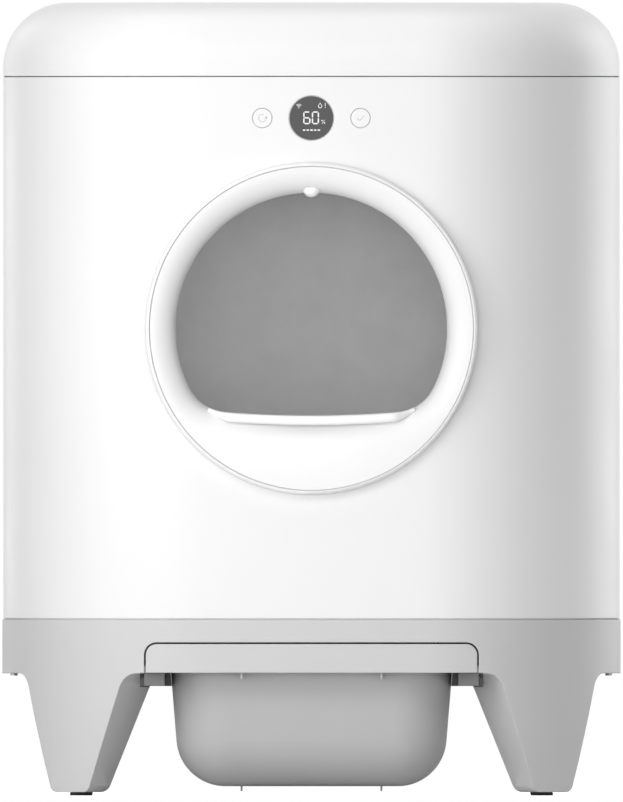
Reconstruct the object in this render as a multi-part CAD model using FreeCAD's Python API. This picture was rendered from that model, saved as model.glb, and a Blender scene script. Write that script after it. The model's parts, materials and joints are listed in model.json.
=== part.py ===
import FreeCAD
import Part
import math
import os

# Self-cleaning litter box. Millimetres. +Z up, the entrance faces -Y, +X to the right.
# The origin lies on the floor under the middle of the whole object.

# Drum: a turning globe with its axis along Y
drum_radius = 226.0
drum_length = 415.0
drum_wall = 3.5
drum_shoulder = 90.0
mouth_radius = 118.0
mouth_collar_wall = 3.0
mouth_collar_front = 3.0
mouth_collar_depth = 11.0
drum_split = 121.0
joint_lap = 9.0
joint_lap_wall = 2.8
drum_screw_count = 8
drum_screw_turn = 10.0
lap_play = 0.2
lap_round = 0.6
countersink = 1.8
countersink_play = 0.1
magnet_radius = 4.0
magnet_length = 4.0
magnet_sink = 2.5
magnet_shift = 9.0
track_height = 2.0
track_width = 12.0
front_track_setback = 111.0
rear_track_setback = 120.0

# Waste port in the drum's wall, angles counted from +X towards +Z
port_angle = 75.0
port_width = 191.0
port_length = 144.0
port_setback = 135.0
port_corner = 20.0
port_frame_width = 5.0
port_frame_depth = 10.0

# Sieve plate across a chord of the drum
sieve_angle = 155.0
sieve_distance = 140.0
sieve_thickness = 3.0
slot_width = 6.0
slot_pitch = 13.0
slot_length = 150.0
slot_shift = 45.0
sieve_margin = 55.0

# Ring gear and pinion
gear_module = 4.0
gear_dedendum = 1.25
gear_rim = 5.0
gear_width = 12.0
gear_setback = 94.0
pinion_teeth = 14
pinion_extra_width = 2.0
pinion_angle = -46.0
pressure_angle = 25.0
tooth_backlash = 0.35
shaft_radius = 4.0
shaft_nose = 3.0
pinion_hub_radius = 18.0
pinion_hub_length = 5.0

# Support rollers
roller_radius = 14.0
tyre_thickness = 3.0
tyre_round = 1.0
hub_wall = 2.5
web_thickness = 4.0
roller_width = 12.0
roller_angle = 32.0
axle_radius = 3.0
axle_play = 0.05
bracket_cheek = 4.0
bracket_foot = 4.0
bracket_rim = 3.0

# Housing round the drum
side_room = 21.7
front_room = 28.7
rear_room = 71.7
head_room = 39.6
drum_lift = 11.2
shell_wall = 3.5
shell_foot_height = 14.0
boss_pitch = 120.0
lug_length = 12.0
lug_low_inset = 38.0
lug_high_inset = 28.0
lug_room = 4.0
base_step = 0.8
base_corner = 160.0
base_wall = 3.5
lid_height = 60.3
lid_crown = 52.0
lid_gap = 0.8
lid_lip_height = 9.0
lid_lip_wall = 2.0
lid_lip_play = 0.5
lid_ledge = 3.0
seal_height = 0.5
seal_width = 1.6
groove_height = 1.0
groove_depth = 1.2
tongue_height = 5.0
tongue_wall = 2.0
tongue_play = 0.3

# Entrance
mouth_play = 3.5
spigot_wall = 4.0
entrance_roll = 21.3
sill_drop = 71.0
sill_height = 8.0
sill_corner = 37.0
sill_sag_radius = 870.0
sill_set_back = 3.0
sill_lip_half = 84.0
sill_lip_corner = 12.0
sill_lip_sink = 0.4
sill_round = 3.5
sill_wall = 7.0
rim_proud = 8.0
rim_width = 3.3
rim_round = 2.6
rim_edge = 0.4
ring_seam = 0.3
ring_inset = 0.7
ring_wall = 3.0
ring_flange_width = 12.0
ring_flange = 3.0
ring_boss = 6.0
ring_boss_radius = 4.0
ring_screw_inset = 7.0
ring_screw_grip = 5.0
ring_screw_count = 6
spigot_reach = 10.0
pod_width = 14.6
pod_hang = 3.6
pod_depth = 22.0
pod_dome = 5.5
pod_set_back = 8.0

# Display and buttons
display_lift = 2.85
display_radius = 18.5
lens_thickness = 2.5
lens_sink = 0.3
lens_flange = 3.0
module_width = 30.0
module_height = 22.0
module_corner = 2.0
button_spacing = 40.0
button_radius = 7.9
button_play = 0.25
button_travel = 0.8
button_flange = 1.8
button_flange_width = 2.0
button_wall = 1.6
button_round = 0.6
button_stem_radius = 3.0
board_width = 108.0
board_height = 42.0
board_thickness = 1.6
board_standoff = 10.0
board_corner = 2.0
board_post_inset = 4.0
board_post_radius = 3.5
board_screw_grip = 8.0
chip_size = 16.0
chip_height = 2.0
plug_shift = 20.0
plug_length = 14.0
plug_width = 8.0
plug_height = 5.0
switch_size = 6.0
switch_height = 3.0

# Base and legs
arch_height = 99.5
belt_height = 43.7
leg_gap = 2.8
arch_lean = 0.40
front_leg_width = 92.0
front_arch_flare = 0.59
leg_depth = 55.0
side_arch_half = 187.4
side_arch_flare = 0.43
leg_width = 100.0
arch_corner = 18.0
foot_inset_x = 64.3
foot_inset_y = 47.0
foot_radius = 9.0
foot_height = 2.5
foot_stem_radius = 3.5
cell_length = 14.0
cell_width = 10.0
cell_height = 3.0
cell_lift = 2.7
cell_pillar = 3.0
cell_slot_radius = 1.2
cell_slot_shift = 3.0

# Deck under the drum
deck_drop = 12.2
deck_thickness = 5.0
deck_play = 0.5
post_radius = 6.0
deck_post_inset_x = 82.0
deck_post_inset_y = 118.0
screw_radius = 1.5
screw_play = 0.2
head_play = 0.2
screw_head_radius = 3.0
screw_head_height = 2.0
deck_screw_grip = 12.0
foot_screw_grip = 9.0

# Waste drawer
panel_half = 135.0
panel_height = 23.5
panel_corner = 9.0
panel_gap = 1.3
panel_lift = 0.5
panel_wall = 3.0
panel_edge = 0.6
bin_half = 116.0
bin_draft = 9.0
bin_front_setback = 20.0
bin_length = 333.0
bin_corner = 42.0
bin_bottom_round = 40.0
bin_wall = 2.5
bin_floor_gap = 7.6
skid_height = 4.3
skid_width = 1.6
gusset_drop = 5.0
skid_spacing = 57.0
bin_rise = 18.5
bin_ear = 15.0
bin_ear_thickness = 3.0
bin_ear_drop = 9.0
bag_frame_height = 3.0
bag_frame_width = 12.0
rail_gap = 3.5
rail_wall = 2.5
rail_play = 0.3
shelf_drop = 10.2
shelf_thickness = 7.7
shelf_setback = 10.0
shelf_stop = 2.5
hanger_setback = 34.0
sensor_inset = 20.0
sensor_gap = 14.0
sensor_width = 16.0
sensor_depth = 12.0
sensor_height = 6.0

# Waste chute
chute_play = 6.0
chute_wall = 2.5
chute_flange = 8.0
chute_end_gap = 1.5
seal_gap = 1.5
seal_depth = 4.5

# Drive behind the pinion
gearbox_size = 44.0
gearbox_length = 38.0
gearbox_corner = 6.0
gearbox_gap = 1.0
motor_radius = 18.0
motor_length = 52.0
motor_round = 2.0
motor_tail_radius = 6.0
motor_tail = 3.0
motor_plate = 3.0
motor_plate_margin = 3.0
motor_plate_corner = 8.0

# Electronics and odour spray at the back
main_board_width = 120.0
main_board_height = 90.0
main_board_rise = 250.0
main_board_shift = 55.0
main_board_corner = 3.0
main_post_inset = 5.0
main_standoff = 12.0
main_chip = 24.0
main_chip_height = 2.0
relay_width = 20.0
relay_height = 16.0
relay_depth = 14.0
relay_side_inset = 18.0
relay_top_inset = 24.0
socket_row_count = 4
socket_row_pitch = 18.0
socket_row_width = 12.0
socket_row_height = 8.0
socket_row_depth = 8.0
socket_row_side_inset = 10.0
socket_row_low_inset = 5.0
socket_radius = 5.5
socket_length = 14.0
socket_shift = 75.0
socket_rise = 40.0
socket_nut_wall = 2.5
socket_nut_height = 3.0
socket_bore = 3.2
socket_depth = 9.0
socket_pin_radius = 1.0
vent_count = 7
vent_length = 90.0
vent_height = 4.0
vent_pitch = 10.0
vent_rise = 60.0
tank_width = 80.0
tank_depth = 42.0
tank_height = 120.0
tank_shift = -80.0
tank_back_gap = 4.0
tank_rise = 62.0
tank_shelf = 3.0
tank_shelf_lip = 2.0
tank_corner = 10.0
tank_wall = 2.0
tank_shoulder = 6.0
tank_round = 5.0
neck_height = 7.0
neck_wall = 2.5
cap_radius = 14.0
cap_height = 12.0
cap_wall = 2.4
cap_play = 0.1
cap_depth = 8.2
cap_rib_radius = 1.2
cap_rib_count = 18
pump_radius = 11.0
pump_length = 34.0
pump_shift = 14.0
pump_head = 16.0
tube_radius = 2.0
tube_lift = 5.0
tube_bend = 10.0
nozzle_gap = 9.0
nozzle_foot_radius = 8.0
nozzle_foot_height = 3.0
nozzle_post_radius = 4.0
nozzle_post_height = 15.0
nozzle_rise = 12.0
nozzle_back = 2.0
nozzle_radius = 2.6
nozzle_tip_radius = 1.2
nozzle_length = 6.0
nozzle_tilt = 0.2

# Home sensor under the drum
home_gap = 3.3
home_board_width = 16.0
home_board_thickness = 2.0
home_board_drop = 4.0
home_head_width = 8.0
home_head_depth = 6.0
home_head_height = 6.0
home_foot_width = 20.0
home_foot_depth = 12.0
home_foot_height = 3.0

# Small gaps between pieces of different bodies, reach of fused pieces into each other, cut overshoot
clearance = 0.3
bite = 0.5
over = 5.0

# Places that follow from the sizes above
base_top = arch_height + belt_height
axis_z = base_top + drum_radius + drum_lift
top_z = axis_z + drum_radius + head_room
seam_z = top_z - lid_height
half_width = drum_radius + side_room + shell_wall + base_step
front_arch_half = half_width - front_leg_width
shell_depth = front_room + drum_length + rear_room + 2 * shell_wall
total_depth = shell_depth + 2 * base_step + rim_proud
back_y = total_depth / 2
rim_y = -total_depth / 2
front_y = rim_y + rim_proud
shell_front = front_y + base_step
shell_inner_front = shell_front + shell_wall
shell_back = back_y - base_step
shell_inner_back = shell_back - shell_wall
shell_half = half_width - base_step
shell_inner_half = shell_half - shell_wall
split_y = back_y - base_corner
drum_front = shell_inner_front + front_room
drum_back = drum_front + drum_length
drum_inner_radius = drum_radius - drum_wall
deck_top = base_top - deck_drop
deck_under = deck_top - deck_thickness
bin_top = arch_height + bin_rise
bin_front_y = front_y + bin_front_setback
bin_back_y = bin_front_y + bin_length
panel_z = arch_height + panel_lift
spigot_radius = mouth_radius - mouth_play
aperture_radius = spigot_radius - spigot_wall
ring_radius = aperture_radius + entrance_roll
display_z = (seam_z + axis_z + ring_radius) / 2 + display_lift
front_track_y = drum_front + front_track_setback
rear_track_y = drum_back - rear_track_setback
gear_y = drum_back - gear_setback - gear_width
ring_teeth = round(2 * (drum_radius + gear_rim + gear_dedendum * gear_module) / gear_module)
ring_pitch = ring_teeth * gear_module / 2
pinion_pitch = pinion_teeth * gear_module / 2
port_y = drum_front + port_setback
track_radius = drum_radius + track_height
roller_distance = track_radius + clearance + roller_radius
screw_hole = screw_radius + screw_play

X = FreeCAD.Vector(1, 0, 0)
Y = FreeCAD.Vector(0, 1, 0)
Z = FreeCAD.Vector(0, 0, 1)


def point(x, y, z):
    return FreeCAD.Vector(x, y, z)


def on_front(y):
    """Map from a drawing (u to the right, v up) to the upright plane at y."""
    return lambda u, v: point(u, y, v)


def on_side(x):
    """Map from a drawing (u to the back, v up) to the upright plane at x."""
    return lambda u, v: point(x, u, v)


def on_floor(z):
    """Map from a drawing (u to the right, v to the back) to the level plane at z."""
    return lambda u, v: point(u, v, z)


def rounded_wire(corners, place):
    """Closed wire through corners (u, v, radius), each rounded by its radius."""
    count = len(corners)
    starts = []
    middles = []
    ends = []
    for index, (u, v, radius) in enumerate(corners):
        here = FreeCAD.Vector(u, v, 0)
        before = FreeCAD.Vector(*corners[index - 1][:2], 0) - here
        after = FreeCAD.Vector(*corners[(index + 1) % count][:2], 0) - here
        before.normalize()
        after.normalize()
        half = before.getAngle(after) / 2
        bisector = before + after
        setback = radius / math.tan(half)
        starts.append(here + before * setback)
        ends.append(here + after * setback)
        if radius > 0:
            bisector.normalize()
            middles.append(here + bisector * (radius / math.sin(half) - radius))
        else:
            middles.append(here)
    edges = []
    for index in range(count):
        start = place(starts[index].x, starts[index].y)
        end = place(ends[index].x, ends[index].y)
        if corners[index][2] > 0:
            middle = place(middles[index].x, middles[index].y)
            edges.append(Part.Arc(start, middle, end).toShape())
        following = starts[(index + 1) % count]
        follow = place(following.x, following.y)
        if end.distanceToPoint(follow) > 1e-6:
            edges.append(Part.LineSegment(end, follow).toShape())
    return Part.Wire(edges)


def upright_corners(x, z, width, height, radius):
    """Corners of a rounded rectangle round a centre on an upright plane."""
    half = width / 2
    rise = height / 2
    return [
        (x - half, z - rise, radius), (x + half, z - rise, radius),
        (x + half, z + rise, radius), (x - half, z + rise, radius),
    ]


def slab(corners, place, travel):
    """Solid made by moving a rounded outline along travel."""
    return Part.Face(rounded_wire(corners, place)).extrude(travel)


def box(x0, x1, y0, y1, z0, z1):
    return Part.makeBox(x1 - x0, y1 - y0, z1 - z0, point(x0, y0, z0))


def rod(radius, start, axis, length):
    return Part.makeCylinder(radius, length, start, axis)


def fused(shapes):
    whole = shapes[0]
    for extra in shapes[1:]:
        whole = whole.fuse(extra)
    return whole.removeSplitter()


def without(solid, tools):
    for tool in tools:
        solid = solid.cut(tool)
    return solid


def mirrored_x(shape):
    return shape.mirror(point(0, 0, 0), X)


def both_sides(shape):
    return [shape, mirrored_x(shape)]


def revolved(corners):
    """Solid of revolution about the drum's axis, from corners (radius, y, rounding)."""
    wire = rounded_wire(corners, lambda u, v: point(u, v, 0))
    solid = Part.Face(wire).revolve(point(0, 0, 0), Y, 360)
    return solid.translated(point(0, 0, axis_z))


def plan_corners(inset):
    radius = base_corner - inset
    x = half_width - inset
    low = front_y + inset
    high = back_y - inset
    return [(-x, low, radius), (x, low, radius), (x, high, radius), (-x, high, radius)]


def plan_block(inset, z0, z1):
    """Upright block with the housing's plan outline, drawn in by inset."""
    return slab(plan_corners(inset), on_floor(z0), Z * (z1 - z0))


def plan_ring(outset, inset, z0, z1):
    return plan_block(outset, z0, z1).cut(plan_block(inset, z0 - over, z1 + over))


def polar(radius, degrees, y):
    """Point at an angle round the drum's axis, from +X towards +Z."""
    turn = math.radians(degrees)
    return point(radius * math.cos(turn), y, axis_z + radius * math.sin(turn))


def outward(degrees):
    turn = math.radians(degrees)
    return point(math.cos(turn), 0, math.sin(turn))


def turned_to(shape, degrees):
    """Turn a shape drawn along +Z from the drum's axis to another angle."""
    placed = shape.copy()
    placed.rotate(point(0, 0, axis_z), Y, 90 - degrees)
    return placed


# Base


def arch_corners(half, centre, grow):
    spread = grow * math.sqrt(1 + arch_lean ** 2 + front_arch_flare ** 2)
    top = arch_height + grow
    wide = half + spread
    foot = wide + arch_lean * (top + over)
    return [
        (centre - foot, -over, 0),
        (centre + foot, -over, 0),
        (centre + wide, top, arch_corner),
        (centre - wide, top, arch_corner),
    ]


def front_arch(grow):
    """Space between the front legs, narrowing to the back of the legs."""
    narrow = front_arch_half - front_arch_flare * leg_depth
    outer = rounded_wire(arch_corners(front_arch_half, 0, grow), on_front(front_y))
    inner = rounded_wire(arch_corners(narrow, 0, grow), on_front(front_y + leg_depth))
    middle = Part.Face(inner).extrude(Y * (total_depth / 2 - leg_depth))
    return Part.makeLoft([outer, inner], True, True).fuse(middle)


def side_arch(grow):
    """Space between the left legs, narrowing inwards."""
    centre = (front_y + back_y) / 2
    narrow = side_arch_half - side_arch_flare * leg_width
    outer = rounded_wire(arch_corners(side_arch_half, centre, grow), on_side(-half_width))
    inner = rounded_wire(arch_corners(narrow, centre, grow), on_side(leg_width - half_width))
    middle = Part.Face(inner).extrude(X * (half_width - leg_width))
    return Part.makeLoft([outer, inner], True, True).fuse(middle)


def base_block(inset, z1):
    """Base with its legs, every face drawn in by inset."""
    front = front_arch(inset)
    back = front.mirror(point(0, (front_y + back_y) / 2, 0), Y)
    left = side_arch(inset)
    block = plan_block(inset, leg_gap + inset, z1)
    return without(block, [front, back, left, mirrored_x(left)])


def foot_places():
    x = half_width - foot_inset_x
    return [
        (sx * x, y)
        for sx in (-1, 1)
        for y in (front_y + foot_inset_y, back_y - foot_inset_y)
    ]


def deck_post_places():
    x = half_width - deck_post_inset_x
    rows = (front_y + deck_post_inset_y, (front_y + back_y) / 2, back_y - deck_post_inset_y)
    return [(sx * x, y) for sx in (-1, 1) for y in rows]


def shell_boss_places():
    x = shell_inner_half - screw_head_radius - 2
    y = shell_inner_back - screw_head_radius - 2
    half = boss_pitch / 2
    return [(-x, -half), (x, -half), (-x, half), (x, half), (-half, y), (half, y)]


def bin_side(z):
    """Half width of the drafted bin at a height."""
    return bin_half - bin_draft * (bin_top - z) / (bin_top - bin_floor_gap)


def rail_top():
    return bin_top - bin_ear_drop - bin_ear_thickness - rail_play


def base_frame():
    hollow = base_block(base_wall, base_top + over)
    frame = base_block(0, base_top).cut(hollow)
    tongue_out = base_step + shell_wall + tongue_play
    tongue_in = tongue_out + tongue_wall
    frame = frame.fuse(plan_ring(base_wall - bite, tongue_in, deck_top + 2, base_top))
    tongue = plan_ring(tongue_out, tongue_in, base_top - 1, base_top + tongue_height)
    boss_room = post_radius + tongue_play
    tongue = without(
        tongue,
        [rod(boss_room, point(x, y, base_top), Z, over * 2) for x, y in shell_boss_places()],
    )
    frame = frame.fuse(tongue)
    floor_in = arch_height + base_wall / 2
    posts = [
        rod(post_radius, point(x, y, floor_in), Z, deck_under - floor_in)
        for x, y in deck_post_places()
    ]
    posts += [
        rod(post_radius, point(x, y, floor_in), Z, base_top - floor_in)
        for x, y in shell_boss_places()
    ]
    ledge_in = bin_half + rail_gap
    ledge_out = panel_half + panel_gap
    ledge_z = arch_height - shelf_drop
    ledge_y = front_y + shelf_setback
    ledge_back = bin_back_y + over
    shelf_top = ledge_z + shelf_thickness
    hanger_y = front_y + hanger_setback
    shelf = box(ledge_in, ledge_out, ledge_y, ledge_back, ledge_z, shelf_top)
    skirt = box(
        bin_side(shelf_top) + clearance, ledge_in, hanger_y, bin_back_y - bin_corner, ledge_z, shelf_top
    )
    stop = box(ledge_in, ledge_out, ledge_y, ledge_y + shelf_stop, ledge_z, rail_top())
    hanger = box(ledge_out, ledge_out + base_wall, hanger_y, ledge_back, ledge_z, floor_in)
    rear = box(ledge_in, ledge_out, ledge_back - base_wall, ledge_back, ledge_z, floor_in)
    ledge = fused([shelf, skirt, stop, hanger, rear])
    frame = fused([frame] + posts)
    tunnel_top = panel_z + panel_height + panel_gap
    tunnel_corner = panel_corner + panel_gap
    tunnel = slab(
        [
            (-ledge_out, shelf_top, 0),
            (ledge_out, shelf_top, 0),
            (ledge_out, tunnel_top, tunnel_corner),
            (-ledge_out, tunnel_top, tunnel_corner),
        ],
        on_front(front_y - over),
        Y * (ledge_back - base_wall - front_y + over),
    )
    frame = frame.cut(tunnel)
    frame = fused([frame] + both_sides(ledge))
    holes = [
        rod(screw_hole, point(x, y, arch_height - over), Z, base_top)
        for x, y in shell_boss_places()
    ]
    grip = deck_screw_grip + 2
    holes += [
        rod(screw_radius, point(x, y, deck_under - grip), Z, grip + over)
        for x, y in deck_post_places()
    ]
    for x, y in foot_places():
        holes.append(rod(foot_stem_radius + clearance, point(x, y, 0), Z, leg_gap + base_wall + over))
    frame = without(frame, holes)
    pillars = []
    for x, y in foot_places():
        for shift in ((cell_pillar - cell_length) / 2, (cell_length - cell_pillar) / 2):
            pillars.append(
                box(
                    x + shift - cell_pillar / 2,
                    x + shift + cell_pillar / 2,
                    y - cell_width / 2,
                    y + cell_width / 2,
                    leg_gap + base_wall - bite,
                    leg_gap + base_wall + cell_lift,
                )
            )
    return fused([frame] + pillars)


def foot_pads():
    top = leg_gap + base_wall + cell_lift
    pads = []
    for x, y in foot_places():
        disc = rod(foot_radius, point(x, y, 0), Z, foot_height)
        stem = rod(foot_stem_radius, point(x, y, foot_height), Z, top - foot_height)
        pads.append(fused([disc, stem]))
    return Part.makeCompound(pads)


def load_cells():
    low = leg_gap + base_wall + cell_lift
    cells = []
    for x, y in foot_places():
        beam = box(
            x - cell_length / 2, x + cell_length / 2,
            y - cell_width / 2, y + cell_width / 2,
            low, low + cell_height,
        )
        slots = [
            rod(cell_slot_radius, point(x + shift, y, low - 1), Z, cell_height + 2)
            for shift in (-cell_slot_shift, cell_slot_shift)
        ]
        cells.append(without(beam, slots))
    return Part.makeCompound(cells)


# Deck, chute and rollers


def chute_plan(grow):
    half = port_width / 2 + chute_play + grow
    low = port_y - chute_play - grow
    high = port_y + port_length + chute_play + grow
    corner = port_corner + grow
    return [(-half, low, corner), (half, low, corner), (half, high, corner), (-half, high, corner)]


def deck_plate():
    inset = base_step + shell_wall + tongue_play + tongue_wall + deck_play
    deck = plan_block(inset, deck_under, deck_top)
    opening = slab(chute_plan(clearance), on_floor(deck_under - over), Z * (deck_thickness + 2 * over))
    holes = [opening]
    holes += [
        rod(post_radius + deck_play, point(x, y, deck_under - 1), Z, deck_thickness + 2)
        for x, y in shell_boss_places()
    ]
    holes += [
        rod(screw_hole, point(x, y, deck_under - 1), Z, deck_thickness + 2)
        for x, y in deck_post_places()
    ]
    return without(deck, holes)


def drum_bore(radius):
    """Long cylinder about the drum's axis, for cutting what follows the drum's curve."""
    return rod(radius, point(0, rim_y, axis_z), Y, total_depth)


def waste_chute():
    low = bin_top + bag_frame_height + chute_end_gap
    high = axis_z
    outer = slab(chute_plan(0), on_floor(low), Z * (high - low))
    inner = slab(chute_plan(-chute_wall), on_floor(low - over), Z * (high - low + 2 * over))
    flange = slab(chute_plan(chute_flange), on_floor(deck_top), Z * chute_wall)
    body = fused([outer, flange]).cut(inner)
    return body.cut(drum_bore(drum_radius + seal_gap + seal_depth))


def chute_seal():
    outer = slab(chute_plan(0), on_floor(deck_top), Z * (axis_z - deck_top))
    inner = slab(chute_plan(-chute_wall), on_floor(deck_top - over), Z * axis_z)
    wall = outer.cut(inner)
    band = drum_bore(drum_radius + seal_gap + seal_depth).cut(drum_bore(drum_radius + seal_gap))
    below = box(-half_width, half_width, rim_y, back_y, deck_top, axis_z - drum_radius / 2)
    return wall.common(band).common(below)


def roller_places():
    """Centre of every roller: name, angle and the middle of its track."""
    return [
        ("front_left", -90 - roller_angle, front_track_y),
        ("front_right", -90 + roller_angle, front_track_y),
        ("rear_left", -90 - roller_angle, rear_track_y),
        ("rear_right", -90 + roller_angle, rear_track_y),
    ]


def roller_hub(angle, y):
    centre = polar(roller_distance, angle, y - roller_width / 2)
    rim = roller_radius - tyre_thickness
    hub = rod(rim, centre, Y, roller_width)
    web = rod(rim - hub_wall, centre - Y, Y, (roller_width - web_thickness) / 2 + 1)
    boss = rod(axle_radius + hub_wall, centre, Y, roller_width)
    far_web = web.translated(Y * ((roller_width + web_thickness) / 2 + 1))
    hub = hub.cut(web).cut(far_web)
    return fused([hub, boss]).cut(rod(axle_radius + axle_play, centre - Y, Y, roller_width + 2))


def roller_tyre(angle, y):
    centre = polar(roller_distance, angle, y - roller_width / 2)
    tyre = rod(roller_radius, centre, Y, roller_width)
    rims = [edge for edge in tyre.Edges if edge.Curve.TypeId == "Part::GeomCircle"]
    tyre = tyre.makeFillet(tyre_round, rims)
    return tyre.cut(rod(roller_radius - tyre_thickness, centre - Y, Y, roller_width + 2))


def bracket_span():
    return roller_width / 2 + clearance + bracket_cheek


def roller_brackets():
    brackets = []
    rim = axle_radius + bracket_rim
    for name, angle, y in roller_places():
        centre = polar(roller_distance, angle, y)
        high = centre.z
        cheek = slab(
            [
                (centre.x - roller_radius, deck_top, 0),
                (centre.x + roller_radius, deck_top, 0),
                (centre.x + rim, high + rim, axle_radius + 1),
                (centre.x - rim, high + rim, axle_radius + 1),
            ],
            on_front(y - bracket_span()),
            Y * bracket_cheek,
        )
        far = cheek.translated(Y * (2 * bracket_span() - bracket_cheek))
        foot = box(
            centre.x - roller_radius, centre.x + roller_radius,
            y - bracket_span(), y + bracket_span(),
            deck_top, deck_top + bracket_foot,
        )
        frame = fused([cheek, far, foot])
        bore = rod(axle_radius, point(centre.x, y - bracket_span() - 1, high), Y, 2 * bracket_span() + 2)
        brackets.append(frame.cut(bore))
    return Part.makeCompound(brackets)


def roller_axles():
    axles = []
    for name, angle, y in roller_places():
        start = polar(roller_distance, angle, y - bracket_span())
        axles.append(rod(axle_radius, start, Y, 2 * bracket_span()))
    return Part.makeCompound(axles)


# Shells


def shell_tube():
    low = base_top
    high = seam_z - lid_gap / 2
    inner = plan_block(base_step + shell_wall, low - over, high + over)
    outer = plan_block(base_step, low + groove_height, high)
    foot = plan_block(base_step + groove_depth, low, low + groove_height)
    return outer.fuse(foot).cut(inner).removeSplitter()


def split_half(shape, front):
    if front:
        keep = box(-half_width, half_width, rim_y, split_y, 0, top_z)
    else:
        keep = box(-half_width, half_width, split_y, back_y, 0, top_z)
    return shape.common(keep)


def lug_heights():
    return (base_top + lug_low_inset, seam_z - lug_high_inset)


def shell_lugs(front):
    """Screw lugs where the front and the rear shell meet."""
    x = shell_inner_half - post_radius + 1
    y = split_y - lug_length if front else split_y
    return [rod(post_radius, point(sx * x, y, z), Y, lug_length) for sx in (-1, 1) for z in lug_heights()]


def lug_holes(radius):
    x = shell_inner_half - post_radius + 1
    return [
        rod(radius, point(sx * x, split_y - lug_length + 2, z), Y, 2 * lug_length - 2 + over)
        for sx in (-1, 1)
        for z in lug_heights()
    ]


def shell_feet(places):
    return [rod(post_radius, point(x, y, base_top), Z, shell_foot_height) for x, y in places]


def foot_holes(places):
    return [rod(screw_radius, point(x, y, base_top - 1), Z, foot_screw_grip + 2) for x, y in places]


def entrance_rim():
    """Raised rim round the entrance, one piece with the front shell."""
    low = ring_radius + ring_seam
    high = low + rim_width
    back = shell_front + shell_wall / 2
    return revolved(
        [(low, rim_y, rim_edge), (high, rim_y, rim_round), (high, back, 0), (low, back, 0)]
    )


def ring_screw_places():
    radius = ring_radius + ring_screw_inset
    return [
        polar(radius, (360 * index + 180) / ring_screw_count, 0) for index in range(ring_screw_count)
    ]


def board_post_places():
    x = board_width / 2 - board_post_inset
    z = board_height / 2 - board_post_inset
    return [(sx * x, display_z + sz * z) for sx in (-1, 1) for sz in (-1, 1)]


def front_shell():
    shell = split_half(shell_tube(), True)
    solids = [shell, entrance_rim()] + shell_lugs(True) + shell_feet(shell_boss_places()[:4])
    wall_in = shell_inner_front - shell_wall / 2
    for place in ring_screw_places():
        solids.append(rod(ring_boss_radius, point(place.x, wall_in, place.z), Y, shell_wall / 2 + ring_boss))
    for x, z in board_post_places():
        solids.append(rod(board_post_radius, point(x, wall_in, z), Y, board_standoff + shell_wall / 2))
    shell = fused(solids)
    deep = shell_wall + 2 * over
    before = shell_front - over
    entrance = rod(ring_radius + ring_seam, point(0, before - rim_proud, axis_z), Y, deep + 2 * rim_proud)
    tools = [entrance]
    tools.append(rod(display_radius, point(0, before, display_z), Y, deep))
    for side in (-1, 1):
        place = point(side * button_spacing, before, display_z)
        tools.append(rod(button_radius + button_play, place, Y, deep))
    for place in ring_screw_places():
        tools.append(rod(screw_radius, point(place.x, shell_inner_front - 1, place.z), Y, ring_boss + 2))
    for x, z in board_post_places():
        tools.append(rod(screw_radius, point(x, shell_inner_front, z), Y, board_standoff + 1))
    tools += lug_holes(screw_radius) + foot_holes(shell_boss_places()[:4])
    return without(shell, tools)


def tank_ledge_z():
    return base_top + tank_rise


def rear_shell():
    shell = split_half(shell_tube(), False)
    solids = [shell] + shell_lugs(False) + shell_feet(shell_boss_places()[4:])
    for x, z in main_post_places():
        place = point(x, shell_inner_back - main_standoff, z)
        solids.append(rod(board_post_radius, place, Y, main_standoff + shell_wall / 2))
    solids.append(
        box(
            tank_shift - tank_width / 2, tank_shift + tank_width / 2,
            tank_y() - tank_shelf_lip, shell_inner_back + shell_wall / 2,
            tank_ledge_z() - tank_shelf, tank_ledge_z(),
        )
    )
    shell = fused(solids)
    tools = lug_holes(screw_hole) + foot_holes(shell_boss_places()[4:])
    for x, z in main_post_places():
        tools.append(rod(screw_radius, point(x, shell_inner_back - main_standoff - 1, z), Y, main_standoff - 1))
    place = point(socket_shift, shell_inner_back - 1, base_top + socket_rise)
    tools.append(rod(socket_radius, place, Y, over * 2))
    for index in range(vent_count):
        z = axis_z + vent_rise + index * vent_pitch
        half = vent_length / 2
        tools.append(
            slab(
                [
                    (-half, z, vent_height / 2 - 0.01),
                    (half, z, vent_height / 2 - 0.01),
                    (half, z + vent_height, vent_height / 2 - 0.01),
                    (-half, z + vent_height, vent_height / 2 - 0.01),
                ],
                on_front(shell_inner_back - 1),
                Y * over * 2,
            )
        )
    return without(shell, tools)


def lid_shell():
    outer = plan_block(base_step, seam_z + lid_gap / 2, top_z)
    rims = [edge for edge in outer.Edges if abs(edge.CenterOfMass.z - top_z) < 0.1]
    outer = outer.makeFillet(lid_crown, rims)
    inner = plan_block(base_step + shell_wall, seam_z - over, top_z - shell_wall)
    rims = [edge for edge in inner.Edges if abs(edge.CenterOfMass.z - top_z + shell_wall) < 0.1]
    inner = inner.makeFillet(lid_crown - shell_wall, rims)
    lip_out = base_step + shell_wall + lid_lip_play
    lip = plan_ring(lip_out, lip_out + lid_lip_wall, seam_z - lid_lip_height, seam_z + lid_ledge)
    wide = 2 * post_radius + lug_room
    deep = lug_length + lug_room / 2
    notches = [
        box(x - wide, x + wide, split_y - deep, split_y + deep, 0, seam_z)
        for x in (-shell_inner_half, shell_inner_half)
    ]
    ledge = plan_ring(base_step + shell_wall / 2, lip_out + lid_lip_wall, seam_z + 1, seam_z + lid_ledge)
    return fused([outer.cut(inner), without(lip, notches), ledge])


def lid_seal():
    top = seam_z + lid_gap / 2
    return plan_ring(base_step + 1, base_step + 1 + seal_width, top - seal_height, top)


# Entrance ring and sensor pod


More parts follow.
